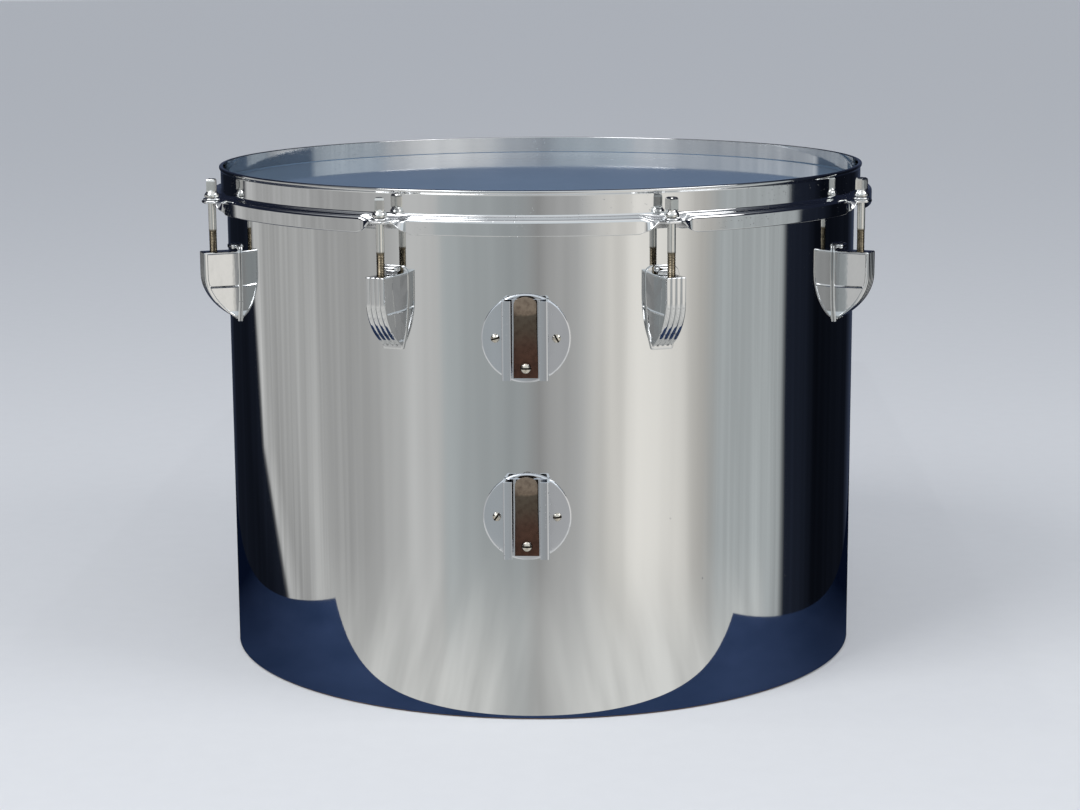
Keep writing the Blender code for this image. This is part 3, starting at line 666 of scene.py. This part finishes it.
def hoop_section(along):
    """The sheet's closed section as (radius, height), at a distance along the hoop from a rod."""
    turned_down = smooth((along - EAR_FLAT) / (EAR_END - EAR_FLAT))  # 0 on the ear, 1 on the lip
    dip = (FLANGE_TOP - EAR_TOP) * (1 - smooth((along - EAR_FLAT) / (DIP_END - EAR_FLAT)))
    fall = FLANGE_FALL * turned_down
    bend_top = FLANGE_TOP - dip - fall
    near_wall = bend_top + 0.6 * fall
    angle = -math.pi / 2 * turned_down
    run = Vector((math.cos(angle), math.sin(angle)))
    inward = Vector((math.sin(angle), -math.cos(angle)))  # from the sheet's outer face to its inner
    corner = Vector((blend(LIP_START, LIP_RADIUS, turned_down), bend_top))
    tip = corner + run * lip_length(along, bend_top - LIP_BOTTOM)
    inner_tip = tip + inward * SHEET
    inside = corner + Vector((-SHEET * turned_down, -SHEET))
    wall_in = WALL_OUTER - SHEET
    edge = 0.0007  # rounding of the sheet's cut edge
    points = [
        (WALL_OUTER - 0.0006, HOOP_TOP, 0.0005),
        (WALL_OUTER + BEAD, HOOP_TOP - 0.0002, edge),
        (WALL_OUTER + BEAD, HOOP_TOP - 0.0020, 0.0008),
        (WALL_OUTER, HOOP_TOP - 0.0030, 0.0008),
        (WALL_OUTER, FLANGE_TOP - 0.0001, 0.0022),
        (WALL_OUTER + 0.0030, near_wall, 0.0012),
        (corner.x, corner.y, blend(0.0018, 0.0040, turned_down)),
        (tip.x, tip.y, edge),
        (inner_tip.x, inner_tip.y, edge),
        (inside.x, inside.y, blend(0.0012, 0.0023, turned_down)),
        (WALL_OUTER + 0.0022, near_wall - SHEET, 0.0010),
        (wall_in, FLANGE_TOP - SHEET + 0.0001, 0.0020),
        (wall_in, HOOP_TOP, 0.0010),
    ]
    return rounded(points, 0.001, 6)


def hoop_columns():
    """(azimuth, distance along the hoop to the nearest rod): close near the ears, wider between them."""
    fine_step, fine_count, wide_count = 0.0008, 29, 26
    fine = [i * fine_step for i in range(-fine_count, fine_count + 1)]
    near = fine[-1] / ROD_CIRCLE
    between = math.tau / LUG_COUNT
    made = []
    for azimuth in LUG_AZIMUTHS:
        made += [(azimuth + s / ROD_CIRCLE, abs(s)) for s in fine]
        for i in range(1, wide_count):
            turn = near + (between - 2 * near) * i / wide_count
            made.append((azimuth + turn, min(turn, between - turn) * ROD_CIRCLE))
    return made


def make_hoop():
    loops = []
    for azimuth, along in hoop_columns():
        loops.append([(r * math.sin(azimuth), -r * math.cos(azimuth), z) for r, z in hoop_section(along)])
    mesh = to_mesh(loft(loops, wrap=True), "rim_hoop")
    tools = []
    for azimuth in LUG_AZIMUTHS:
        place = on_drum(azimuth, ROD_CIRCLE, 0.0)
        hole = cylinder_mesh(ROD_RADIUS + 0.0004, EAR_TOP - 0.01, EAR_TOP + 0.005, 32, place)
        tools.append((hole, "DIFFERENCE"))
    piece("rim_hoop", combined(mesh, tools), CHROME, "hoop", "hoop")


# Tension rods and washers, about the rod's axis with z = 0 on the ear


def square_loop(half, corner, z, count=32):
    """A square with eased corners as a closed loop, its points at even angles."""
    loop = []
    diagonal = (half - corner) * math.sqrt(2) + corner
    for i in range(count):
        a = math.tau * i / count
        x, y = math.cos(a), math.sin(a)
        square = half / max(abs(x), abs(y))
        cut = diagonal / (abs(x) + abs(y)) * math.sqrt(2)
        reach = min(square, (cut + square) / 2)
        loop.append((x * reach, y * reach, z))
    return loop


def circle_loop(radius, z, count=32):
    angles = [math.tau * i / count for i in range(count)]
    return [(radius * math.cos(a), radius * math.sin(a), z) for a in angles]


def thread_loop(z, top, count=32):
    """A ring of the thread: its crest climbs once round in one pitch, and it fades in at the top."""
    loop = []
    fade = smooth((top - z) / (2 * THREAD_PITCH))
    for i in range(count):
        phase = (z / THREAD_PITCH - i / count) % 1.0
        crest = 1 - abs(2 * phase - 1)
        radius = ROD_RADIUS - THREAD_DEPTH * fade * (1 - crest)
        a = math.tau * i / count
        loop.append((radius * math.cos(a), radius * math.sin(a), z))
    return loop


def rod_mesh():
    """From the tip up: the thread, a plain shank, a round collar and a square head."""
    bottom = ROD_BOTTOM - EAR_TOP
    top = ROD_TOP - EAR_TOP
    thread_top = THREAD_TOP - EAR_TOP
    thread_bottom = bottom + 0.0008
    collar = ROD_COLLAR
    loops = [circle_loop(0.0014, bottom), circle_loop(0.0022, bottom + 0.0007)]
    rings_in_pitch = 5
    rings = int((thread_top - thread_bottom) / (THREAD_PITCH / rings_in_pitch))
    for i in range(rings + 1):
        loops.append(thread_loop(blend(thread_bottom, thread_top, i / rings), thread_top))
    for radius, z in (
        (ROD_RADIUS, thread_top + 0.002),
        (ROD_RADIUS, collar - 0.0006),
        (ROD_RADIUS + 0.0002, collar - 0.0001),
        (0.0046, collar),
        (0.0050, collar + 0.0004),
        (0.0051, collar + 0.0014),
        (0.0048, collar + 0.0026),
        (0.0040, collar + 0.0034),
        (0.0036, collar + 0.0040),
    ):
        loops.append(circle_loop(radius, z))
    for half, z in (
        (HEAD_HALF * 1.02, collar + 0.0048),
        (HEAD_HALF, collar + 0.0056),
        (HEAD_HALF, top - 0.0024),
        (HEAD_HALF * 0.96, top - 0.0012),
        (HEAD_HALF * 0.84, top - 0.0004),
        (HEAD_HALF * 0.60, top),
    ):
        loops.append(square_loop(half, 0.0006, z))
    return to_mesh(loft(loops), "rod")


def make_rods():
    base = rod_mesh()
    bore, seat = 0.00315, 0.0003
    outline = [(0.0060, 0.0016, 0.0006), (0.0062, seat, 0.0004), (bore, seat, 0.0002), (bore, 0.0017, 0.0003)]
    washer = to_mesh(lathe(rounded(outline, 0.0003), 48), "washer")
    for index, azimuth in enumerate(LUG_AZIMUTHS):
        number = index + 1
        place = on_drum(azimuth, ROD_CIRCLE, EAR_TOP)
        turn = Matrix.Rotation(math.radians(17 + 53 * index), 4, "Z")
        body, node = f"rod_{number}", f"tension_rod_{number}"
        piece(f"rod_{number}", base.copy(), ROD, body, node, place @ turn)
        piece(f"rod_washer_{number}", washer.copy(), CHROME, "hoop", f"washer_{number}", place)


# Lugs: a shield-shaped flange bent to the shell and a deep fluted body, made facing -Y


def body_depth(z):
    """How far the front stands out at a height: straight above the turn, then curving in to the foot."""
    share = min(max((BODY_TURN - z) / (BODY_TURN - BODY_FOOT), 0.0), 0.985)
    return LUG_DEPTH * (1 - share**2) ** 0.8


def body_loop(z, shrink=0.0):
    """The body cut level at a height: flat back, side panels sunk behind a rim, fluted front."""
    depth = max(body_depth(z), 0.0026) - shrink
    half = BODY_HALF - shrink
    back = 0.0006
    corner = depth - RIB_HEIGHT
    squeeze = min(1.0, (corner - back) / 0.0044)  # near the foot the rim narrows
    ridge = 1 - 0.8 * smooth(1 - abs(z - PANEL_RIDGE) / 0.0009)
    below_top = smooth((BODY_TOP - 0.0012 - z) / 0.0005)
    room = smooth((depth - 0.006) / 0.004) * below_top * ridge
    panel = [blend(back, corner - 0.0022 * squeeze, i / 6) for i in range(7)]
    side = []
    for out in panel + [corner - inset * squeeze for inset in (0.0019, 0.0016, 0.0006, 0.0)]:
        sink = PANEL_SINK * room * smooth((corner - 0.0015 - out) / 0.0006)
        side.append((half - sink, -out, z))
    front_steps = 48
    rib = RIB_HEIGHT * blend(1.0, 0.45, smooth((z - 0.022) / 0.022))  # the flutes fade upwards
    front = []
    for i in range(1, front_steps):
        across = i / front_steps
        gap = abs(2 * ((across * RIBS) % 1.0) - 1) ** 5
        front.append((half * (1 - 2 * across), -(depth - rib * gap), z))
    return side + front + [(-x, y, level) for x, y, level in side[::-1]]


def lug_body():
    """Cuts lie close together where the foot curves, at the panels' ridge and at the top."""
    foot = [0.0024, 0.0030, 0.0038, 0.0048, 0.0060, 0.0075, 0.0092]
    lower = [0.0110, 0.0130, 0.0150, 0.0170, 0.0190, 0.0210, 0.0230]
    ridge = [0.0240, 0.0244, 0.0248, 0.0252, 0.0256, 0.0260, 0.0264]
    upper = [0.0275, 0.0290, 0.0310, 0.0340, 0.0380, 0.0420, 0.0460]
    loops = [body_loop(z) for z in [*foot, *lower, *ridge, *upper, 0.0482, 0.0486, 0.0489]]
    for z, shrink in ((0.0492, 0.0), (0.0496, 0.0001), (0.0499, 0.0004), (BODY_TOP, 0.0009)):
        loops.append(body_loop(z, shrink))
    return to_mesh(loft(loops), "lug_body")


def lug_shield():
    """The flange's outline, pulled in a little at its edges and bent to the shell."""
    right = [
        (0.0072, 0.0, 0.0008),
        (0.0100, 0.0110, 0.008),
        (SHIELD_HALF, 0.0360, 0.012),
        (SHIELD_HALF, SHIELD_TOP, 0.0075),
    ]
    outline = rounded(right + [(-p[0], *p[1:]) for p in right[::-1]], 0.001, 8)
    centre = Vector((0.0, SHIELD_TOP / 2))
    loops = []
    edge = [(0.0, 0.0001), (0.0003, 0.0), (0.0010, 0.0), (0.0014, 0.0002), (SHIELD_THICKNESS, 0.0007)]
    for out, inset in edge:
        loop = []
        for x, z in outline:
            flat = Vector((x, z))
            pulled = flat + (centre - flat).normalized() * inset
            radius = LUG_SEAT + out
            azimuth = pulled.x / LUG_SEAT
            loop.append((radius * math.sin(azimuth), LUG_SEAT - radius * math.cos(azimuth), pulled.y))
        loops.append(loop)
    return to_mesh(loft(loops), "lug_shield")


def lug_curl():
    """The flange's top rolled forwards: a short bar with rounded ends, along X."""
    end = [(0.0036, 0.0022), (0.0047, 0.0019), (0.0054, 0.0013), (0.0056, 0.0006)]
    height = SHIELD_TOP - CURL_DROP
    loops = []
    for along, radius in [(-x, r) for x, r in end[::-1]] + end:
        loops.append([(along, y - CURL_OUT, z + height) for y, z, _ in circle_loop(radius, 0.0, 24)])
    return to_mesh(loft(loops), "lug_curl")


def make_lugs():
    """Each lug is bored for its rod, hollow behind for the swivel nut, and tapped for its screw."""
    bore = cylinder_mesh(ROD_RADIUS + 0.0005, 0.0240, 0.06, 32, Matrix.Translation((0.0, -ROD_OUT, 0.0)))
    pocket_half, pocket_low, pocket_high = 0.0049, 0.0275, 0.0478
    pocket = box_mesh((-pocket_half, -(ROD_OUT + 0.0045), pocket_low), (pocket_half, 0.01, pocket_high))
    screw_line = Matrix.Translation((0.0, 0.0, LUG_SCREW_HEIGHT)) @ OUTWARD
    tapped = cylinder_mesh(0.0023, -0.01, 0.0075, 24, screw_line)
    tools = [(lug_shield(), "UNION"), (lug_curl(), "UNION")]
    tools += [(cutter, "DIFFERENCE") for cutter in (bore, pocket, tapped)]
    mesh = combined(lug_body(), tools)
    for index, azimuth in enumerate(LUG_AZIMUTHS):
        number = index + 1
        place = on_drum(azimuth, LUG_SEAT, LUG_BOTTOM)
        piece(f"fluted_lug_{number}", mesh.copy(), LUG_CHROME, "drum", f"lug_{number}", place)


# Screws, with the underside of the head on z = 0


def screw_mesh(head, rise, shaft, length):
    """A round-head screw with a slot along X."""
    dome = [(0.0, rise)]
    for i in range(1, 9):
        a = math.radians(90 - 90 * i / 8)
        dome.append((head * math.cos(a), rise * (0.12 + 0.88 * math.sin(a))))
    line = [*dome, (head * 0.97, 0.0), (shaft, 0.0), (shaft, -length), (0.0, -length)]
    mesh = to_mesh(turned(line, 32), "screw")
    past = 1.2  # the slot's cutter runs past the head by this factor
    slot_low = (-head * past, -SLOT_HALF_WIDTH, rise - SLOT_DEPTH)
    slot = box_mesh(slot_low, (head * past, SLOT_HALF_WIDTH, rise * past))
    return combined(mesh, [(slot, "DIFFERENCE")])


def make_lug_screws():
    """From inside the shell into each lug. The swivel nuts keep their CAD solids and get a material."""
    head = SHELL_INNER - 0.0007
    height = LUG_BOTTOM + LUG_SCREW_HEIGHT
    length = LUG_SEAT + 0.0068 - head
    base = screw_mesh(0.0042, 0.0024, 0.0020, length)
    inward = Matrix.Rotation(-math.pi / 2, 4, "X")
    for index, azimuth in enumerate(LUG_AZIMUTHS):
        number = index + 1
        turn = Matrix.Rotation(math.radians(20 + 67 * index), 4, "Z")
        place = on_drum(azimuth, head, height) @ inward @ turn
        piece(f"lug_bolt_{number}", base.copy(), SCREW, "drum", f"lug_screw_{number}", place)
        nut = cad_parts[f"swivel_nut_{number}"]
        nut.data.materials.clear()
        nut.data.materials.append(BRASS)


# Carrier brackets


def disc_mesh(height):
    """The disc, bent to the shell. Its rings are (radius, height above the disc's back)."""
    back = [(0.010, 0.0), (0.020, 0.0), (DISC_RADIUS - 0.0006, 0.0)]
    edge = [(DISC_RADIUS, 0.0006), (DISC_RADIUS, 0.0013), (0.0288, 0.0017), (0.0284, 0.0019)]
    front = [(radius, DISC_THICKNESS) for radius in (0.0278, 0.020, 0.010)]
    around = 96
    loops = []
    for ring, out in back + edge + front:
        loop = []
        for i in range(around):
            a = math.tau * i / around
            azimuth = ring * math.cos(a) / DRUM_RADIUS
            radius = DRUM_RADIUS + DISC_GAP + out
            z = height + ring * math.sin(a)
            loop.append((radius * math.sin(azimuth), -radius * math.cos(azimuth), z))
        loops.append(loop)
    return to_mesh(loft(loops), "disc")


def channel_mesh(height):
    """The channel's section, extruded, with its ends eased."""
    inner = CHANNEL_HALF - CHANNEL_SHEET
    right = [
        (CHANNEL_HALF, DISC_OUTER - 0.0010, 0.0),
        (CHANNEL_HALF, CHANNEL_FACE, 0.0016),
        (SLOT_HALF, CHANNEL_FACE, 0.0005),
        (SLOT_HALF, CHANNEL_FACE - CHANNEL_SHEET, 0.0005),
        (inner, CHANNEL_FACE - CHANNEL_SHEET, 0.0006),
        (inner, CHANNEL_WEB, 0.0004),
    ]
    section = rounded(right + [(-p[0], *p[1:]) for p in right[::-1]], 0.0, 4)
    half = CHANNEL_HEIGHT / 2
    work = bmesh.new()
    face = work.faces.new([work.verts.new((x, -out, height - half)) for x, out in section])
    grown = bmesh.ops.extrude_face_region(work, geom=[face])
    for v in [g for g in grown["geom"] if isinstance(g, bmesh.types.BMVert)]:
        v.co.z += CHANNEL_HEIGHT
    bmesh.ops.recalc_face_normals(work, faces=work.faces)
    return to_mesh(work, "channel")


def leaf_path():
    """(outward, height) of the leaf's back, from its foot to its tip, about the bracket's middle."""
    foot_steps, bow_steps, tip_steps = 6, 18, 12
    line = [(LEAF_REST, blend(LEAF_BOTTOM, LEAF_FOOT, i / foot_steps)) for i in range(foot_steps)]
    for i in range(bow_steps + 1):
        share = i / bow_steps
        out = LEAF_REST + LEAF_BOW * math.sin(share * math.pi / 2) ** 1.15
        line.append((out, blend(LEAF_FOOT, LEAF_BEND, share)))
    for i in range(1, tip_steps + 1):
        share = i / tip_steps
        line.append((LEAF_REST + LEAF_BOW - 0.0022 * share**1.2, blend(LEAF_BEND, LEAF_TOP, share)))
    return line


def leaf_mesh():
    """The strip narrows a little upwards and ends in an arch."""
    crown = 0.0056
    loops = []
    for out, z in leaf_path():
        past = max(z - (LEAF_TOP - crown), 0.0) / crown
        full = blend(0.0080, 0.0074, smooth((z + 0.020) / 0.030))
        width = max(full * math.sqrt(max(1 - past**2.4, 0.0)), 0.0008)
        strip = [(width, 0.0), (width, LEAF_THICKNESS), (-width, LEAF_THICKNESS), (-width, 0.0)]
        loops.append([(x, -(out + up), z) for x, up in rounded(strip, 0.00025, 2)])
    mesh = to_mesh(loft(loops), "leaf")
    screw_line = Matrix.Translation((0.0, 0.0, -LEAF_SCREW_DROP)) @ OUTWARD
    hole = cylinder_mesh(LEAF_SCREW_HOLE, 0.22, 0.26, 24, screw_line)
    return combined(mesh, [(hole, "DIFFERENCE")])


def nut_mesh():
    """A small hexagon nut with eased corners, its seat on z = 0 and its body below."""
    outside = [(0.0037, 0.0), (0.0041, -0.0003), (0.0041, -0.0029), (0.0037, -0.0032)]
    inside = [(0.0021, -0.0032), (0.0019, -0.0028), (0.0019, -0.0004), (0.0021, 0.0)]
    loops = [circle_loop(radius, z, 6) for radius, z in outside + inside]
    return to_mesh(loft(loops, wrap=True), "nut")


def bracket_holes(height, side_azimuth):
    """Cutters for the two side screws and the leaf's screw."""
    low, high = 0.21, 0.25
    raised = Matrix.Translation((0, 0, height)) @ OUTWARD
    sides = [Matrix.Rotation(sign * side_azimuth, 4, "Z") @ raised for sign in (-1, 1)]
    holes = [(cylinder_mesh(0.0020, low, high, 24, place), "DIFFERENCE") for place in sides]
    leaf_place = Matrix.Translation((0, 0, height - LEAF_SCREW_DROP)) @ OUTWARD
    return holes + [(cylinder_mesh(LEAF_SCREW_HOLE, low, high, 24, leaf_place), "DIFFERENCE")]


def make_brackets():
    side_azimuth = math.asin(SIDE_SCREW_OUT / DISC_OUTER)
    side_seat = DISC_OUTER + 0.0002
    nut_seat = SHELL_INNER - 0.0010
    side = screw_mesh(0.0029, 0.0021, 0.0017, side_seat - nut_seat + 0.0050)
    leaf_screw = screw_mesh(0.00355, 0.0024, 0.0020, 0.0040)
    nut = nut_mesh()
    leaf = leaf_mesh()
    for where, height in BRACKET_HEIGHTS.items():
        holes = bracket_holes(height, side_azimuth)
        plate = combined(disc_mesh(height), [(channel_mesh(height), "UNION"), *holes])
        node = f"{where}_bracket"
        piece(f"{where}_carrier_plate", plate, BRACKET_CHROME, "drum", node, bevel=EASED)
        raised = Matrix.Translation((0.0, 0.0, height))
        body, node = f"{where}_spring", f"{where}_leaf_spring"
        piece(f"{where}_leaf", leaf.copy(), LEAF, body, node, raised)
        seat = LEAF_REST + LEAF_THICKNESS + 0.0004
        place = on_drum(0.0, seat, height - LEAF_SCREW_DROP) @ OUTWARD
        piece(f"{where}_leaf_bolt", leaf_screw.copy(), SCREW, "drum", f"{where}_leaf_screw", place)
        for label, sign in (("left", -1), ("right", 1)):
            turn = Matrix.Rotation(math.radians(SLOT_ANGLES[where][label]), 4, "Z")
            place = on_drum(sign * side_azimuth, side_seat, height) @ OUTWARD @ turn
            node = f"{where}_{label}_screw"
            piece(f"{where}_{label}_bolt", side.copy(), SCREW, "drum", node, place)
            place = on_drum(sign * side_azimuth, nut_seat, height) @ OUTWARD
            node = f"{where}_{label}_nut"
            piece(f"{where}_{label}_hex", nut.copy(), NICKEL, "drum", node, place, bevel=EASED)


make_shell()
make_wrap()
make_head()
make_flesh_hoop()
make_hoop()
make_rods()
make_lugs()
make_lug_screws()
make_brackets()


# Studio: pale floor, soft light, and dark and pale surroundings for the mirror surfaces


def make_floor():
    work = bmesh.new()
    bmesh.ops.create_circle(work, cap_ends=True, segments=64, radius=30.0)
    floor = place_object("studio_floor", to_mesh(work, "studio_floor"))
    pale = Shader("pale_floor", (0.78, 0.79, 0.81), 0.8, 0.0)
    greys = [(0.3, (0.775, 0.785, 0.805)), (0.7, (0.785, 0.795, 0.815))]
    pale.drive("Base Color", pale.colours(pale.noise(60.0, 2.0), greys))
    floor.data.materials.append(pale.material)
    floor.visible_glossy = False
    # what mirror surfaces see beneath them: a narrower blue-grey stand
    mesh = box_mesh((-0.39, -0.236, -0.002), (0.35, 1.2, 0.0002))
    stand = place_object("studio_stand", mesh)
    blue = Shader("blue_stand", (0.09, 0.12, 0.19), 0.8, 0.0)
    near = blue.colours(blue.noise(7.0, 5.0), [(0.3, (0.026, 0.046, 0.105)), (0.7, (0.050, 0.078, 0.165))])
    # painted shade: the stand's blue darkens to near-black from the drum's front towards its back
    painted_shade_behind = blue.spread(blue.axis("Y"), -0.20, 0.10, 0.0, 1.0)
    blue.drive("Base Color", blue.mixed(painted_shade_behind, near, (0.003, 0.006, 0.018)))
    blue.drive("Specular IOR Level", 0.0)
    stand.data.materials.append(blue.material)
    stand.visible_camera = False
    stand.visible_diffuse = False
    stand.visible_shadow = False


DEEP = (0.70, 0.90, 1.50)
COOL = (0.94, 1.0, 1.01)
PLAIN = (1.0, 1.0, 0.985)
WARM = (1.03, 1.0, 0.94)

# Brightness round the horizon, as (turn from +Y through -X, -Y and +X, grey, tint): cloth hung in front,
# with the dark beyond its edges
ROUND = [
    (0.000, 0.080, DEEP),
    (0.045, 0.045, DEEP),
    (0.075, 0.010, DEEP),
    (0.130, 0.009, DEEP),
    (0.163, 0.016, DEEP),
    (0.169, 0.62, PLAIN),
    (0.190, 0.44, PLAIN),
    (0.235, 0.52, PLAIN),
    (0.290, 0.47, PLAIN),
    (0.340, 0.48, PLAIN),
    (0.385, 0.66, PLAIN),
    (0.404, 0.60, PLAIN),
    (0.412, 0.50, COOL),
    (0.450, 0.48, COOL),
    (0.486, 0.41, COOL),
    (0.504, 0.31, PLAIN),
    (0.515, 0.42, PLAIN),
    (0.545, 0.48, PLAIN),
    (0.575, 0.78, WARM),
    (0.600, 0.90, WARM),
    (0.640, 0.84, WARM),
    (0.670, 0.58, WARM),
    (0.690, 0.46, COOL),
    (0.735, 0.56, COOL),
    (0.774, 0.42, COOL),
    (0.780, 0.022, DEEP),
    (0.815, 0.016, DEEP),
    (0.832, 0.005, DEEP),
    (0.925, 0.008, DEEP),
    (0.955, 0.045, DEEP),
    (1.000, 0.080, DEEP),
]


def make_world():
    """Mirror surfaces see the studio round them; everything else is lit by a plain pale sky."""
    world = bpy.data.worlds.new("studio")
    bpy.context.scene.world = world
    world.use_nodes = True
    world.node_tree.nodes.clear()
    sky = Nodes(world.node_tree)
    maths, mixed = sky.maths, sky.mixed

    def spread(*values):
        return sky.spread(*values, kind="SMOOTHSTEP")

    def cloth(across, up, scale, detail):
        flat = sky.node("ShaderNodeCombineXYZ", {"X": across, "Y": up}).outputs["Vector"]
        feeds = {"Scale": scale, "Detail": detail, "Roughness": 0.55, "Vector": flat}
        return sky.node("ShaderNodeTexNoise", feeds).outputs["Fac"]

    direction = sky.node("ShaderNodeTexCoord").outputs["Generated"]
    x, y, z = sky.node("ShaderNodeSeparateXYZ", {"Vector": direction}).outputs
    azimuth = maths("ARCTAN2", x, maths("MULTIPLY", y, -1.0))
    off_front = maths("ABSOLUTE", azimuth)
    turn = maths("ADD", maths("DIVIDE", azimuth, math.tau), 0.5)
    sides = spread(off_front, 0.95, 1.45, 0.0, 1.0)
    # the cloth's left edge leans inwards, more so lower down
    fallen = maths("ADD", z, 0.2)
    lean = maths("MINIMUM", maths("MULTIPLY", fallen, 0.7), maths("MULTIPLY", fallen, 0.2))
    lean = maths("MINIMUM", lean, 0.015)
    left = maths("MULTIPLY", sides, spread(azimuth, -2.6, -2.3, 0.0, 1.0))
    left = maths("MULTIPLY", left, maths("LESS_THAN", azimuth, 0.0))
    leaned = maths("ADD", turn, maths("MULTIPLY", lean, left))
    stops = [(position, tuple(grey * share for share in tint)) for position, grey, tint in ROUND]
    horizon = sky.colours(leaned, stops)
    wide_folds = cloth(maths("MULTIPLY", azimuth, 3.0), maths("MULTIPLY", z, 1.2), 1.5, 2.0)
    broad = spread(wide_folds, 0.3, 0.7, 0.90, 1.10)
    close_folds = cloth(maths("MULTIPLY", azimuth, 16.0), maths("MULTIPLY", z, 1.5), 1.6, 3.0)
    fine = spread(close_folds, 0.35, 0.7, 0.88, 1.14)
    hung = mixed(1.0, horizon, broad, "MULTIPLY")
    hung = mixed(sides, hung, mixed(1.0, hung, fine, "MULTIPLY"))
    # lower down the cloth lies in slanting heaps, brighter than where it hangs
    slant = maths("ADD", maths("MULTIPLY", off_front, 3.2), maths("MULTIPLY", z, 15.0))
    heap = spread(cloth(slant, maths("MULTIPLY", azimuth, 1.7), 1.2, 3.0), 0.3, 0.7, 0.58, 0.88)
    lower_down = spread(z, -0.235, -0.305, 0.0, 0.9)
    heaped = maths("MULTIPLY", lower_down, spread(off_front, 0.08, 0.40, 0.6, 1.0))
    front = spread(off_front, 1.50, 1.62, 1.0, 0.0)
    low = mixed(maths("MULTIPLY", heaped, front), hung, mixed(1.0, (1.0, 1.0, 0.97), heap, "MULTIPLY"))
    # overhead: an even ceiling, paler towards the front
    ceiling = mixed(spread(y, -0.5, 0.5, 1.0, 0.0), (0.035, 0.045, 0.075), (0.96, 0.98, 1.0))
    whole = mixed(spread(z, 0.35, 0.85, 0.0, 1.0), low, ceiling)
    # above the hung cloth it is dark at both sides and bright in the middle
    above = maths("MULTIPLY", spread(z, 0.09, 0.16, 0.0, 1.0), spread(z, 0.50, 0.72, 1.0, 0.0))
    beside = spread(off_front, 0.72, 0.92, 0.0, 1.0)
    upper = mixed(beside, (0.82, 0.88, 0.92), (0.014, 0.018, 0.034))
    whole = mixed(above, whole, upper)
    studio = sky.node("ShaderNodeBackground", {"Color": whole}).outputs["Background"]
    pale = {"Color": (0.60, 0.63, 0.68), "Strength": 0.9}
    plain = sky.node("ShaderNodeBackground", pale).outputs["Background"]
    mirrored = sky.node("ShaderNodeLightPath").outputs["Is Glossy Ray"]
    either = sky.node("ShaderNodeMixShader", {"Fac": mirrored, 1: plain, 2: studio}).outputs["Shader"]
    sky.node("ShaderNodeOutputWorld", {"Surface": either})


def add_light(name, place, size, power, colour=(1.0, 1.0, 1.0)):
    data = bpy.data.lights.new(name, "AREA")
    data.energy = power
    data.size = size
    data.color = colour
    obj = bpy.data.objects.new(name, data)
    bpy.context.scene.collection.objects.link(obj)
    obj.location = place
    aim = Vector((0.0, 0.0, 0.2)) - Vector(place)
    obj.rotation_euler = aim.to_track_quat("-Z", "Y").to_euler()


def make_camera():
    """The camera as fitted to the rim and bottom ellipses."""
    data = bpy.data.cameras.new("photo_camera")
    data.sensor_width = 36.0
    data.lens = 79.27
    camera = bpy.data.objects.new("photo_camera", data)
    bpy.context.scene.collection.objects.link(camera)
    distance = 7.637 * DRUM_RADIUS
    height = 2.179 * DRUM_RADIUS
    azimuth = math.radians(2.51)
    yaw = azimuth + math.radians(0.045)
    pitch = math.radians(90 - 10.64)
    roll = -0.006
    turn = Matrix.Rotation(yaw, 4, "Z") @ Matrix.Rotation(pitch, 4, "X") @ Matrix.Rotation(roll, 4, "Z")
    spot = Matrix.Translation((distance * math.sin(azimuth), -distance * math.cos(azimuth), height))
    camera.matrix_world = spot @ turn
    bpy.context.scene.camera = camera


make_floor()
make_world()
add_light("key_light", (-1.3, -1.4, 2.0), 1.2, 26.0)
add_light("fill_light", (1.6, -0.9, 1.6), 1.0, 12.0)
make_camera()
bpy.context.scene.view_settings.view_transform = "Standard"
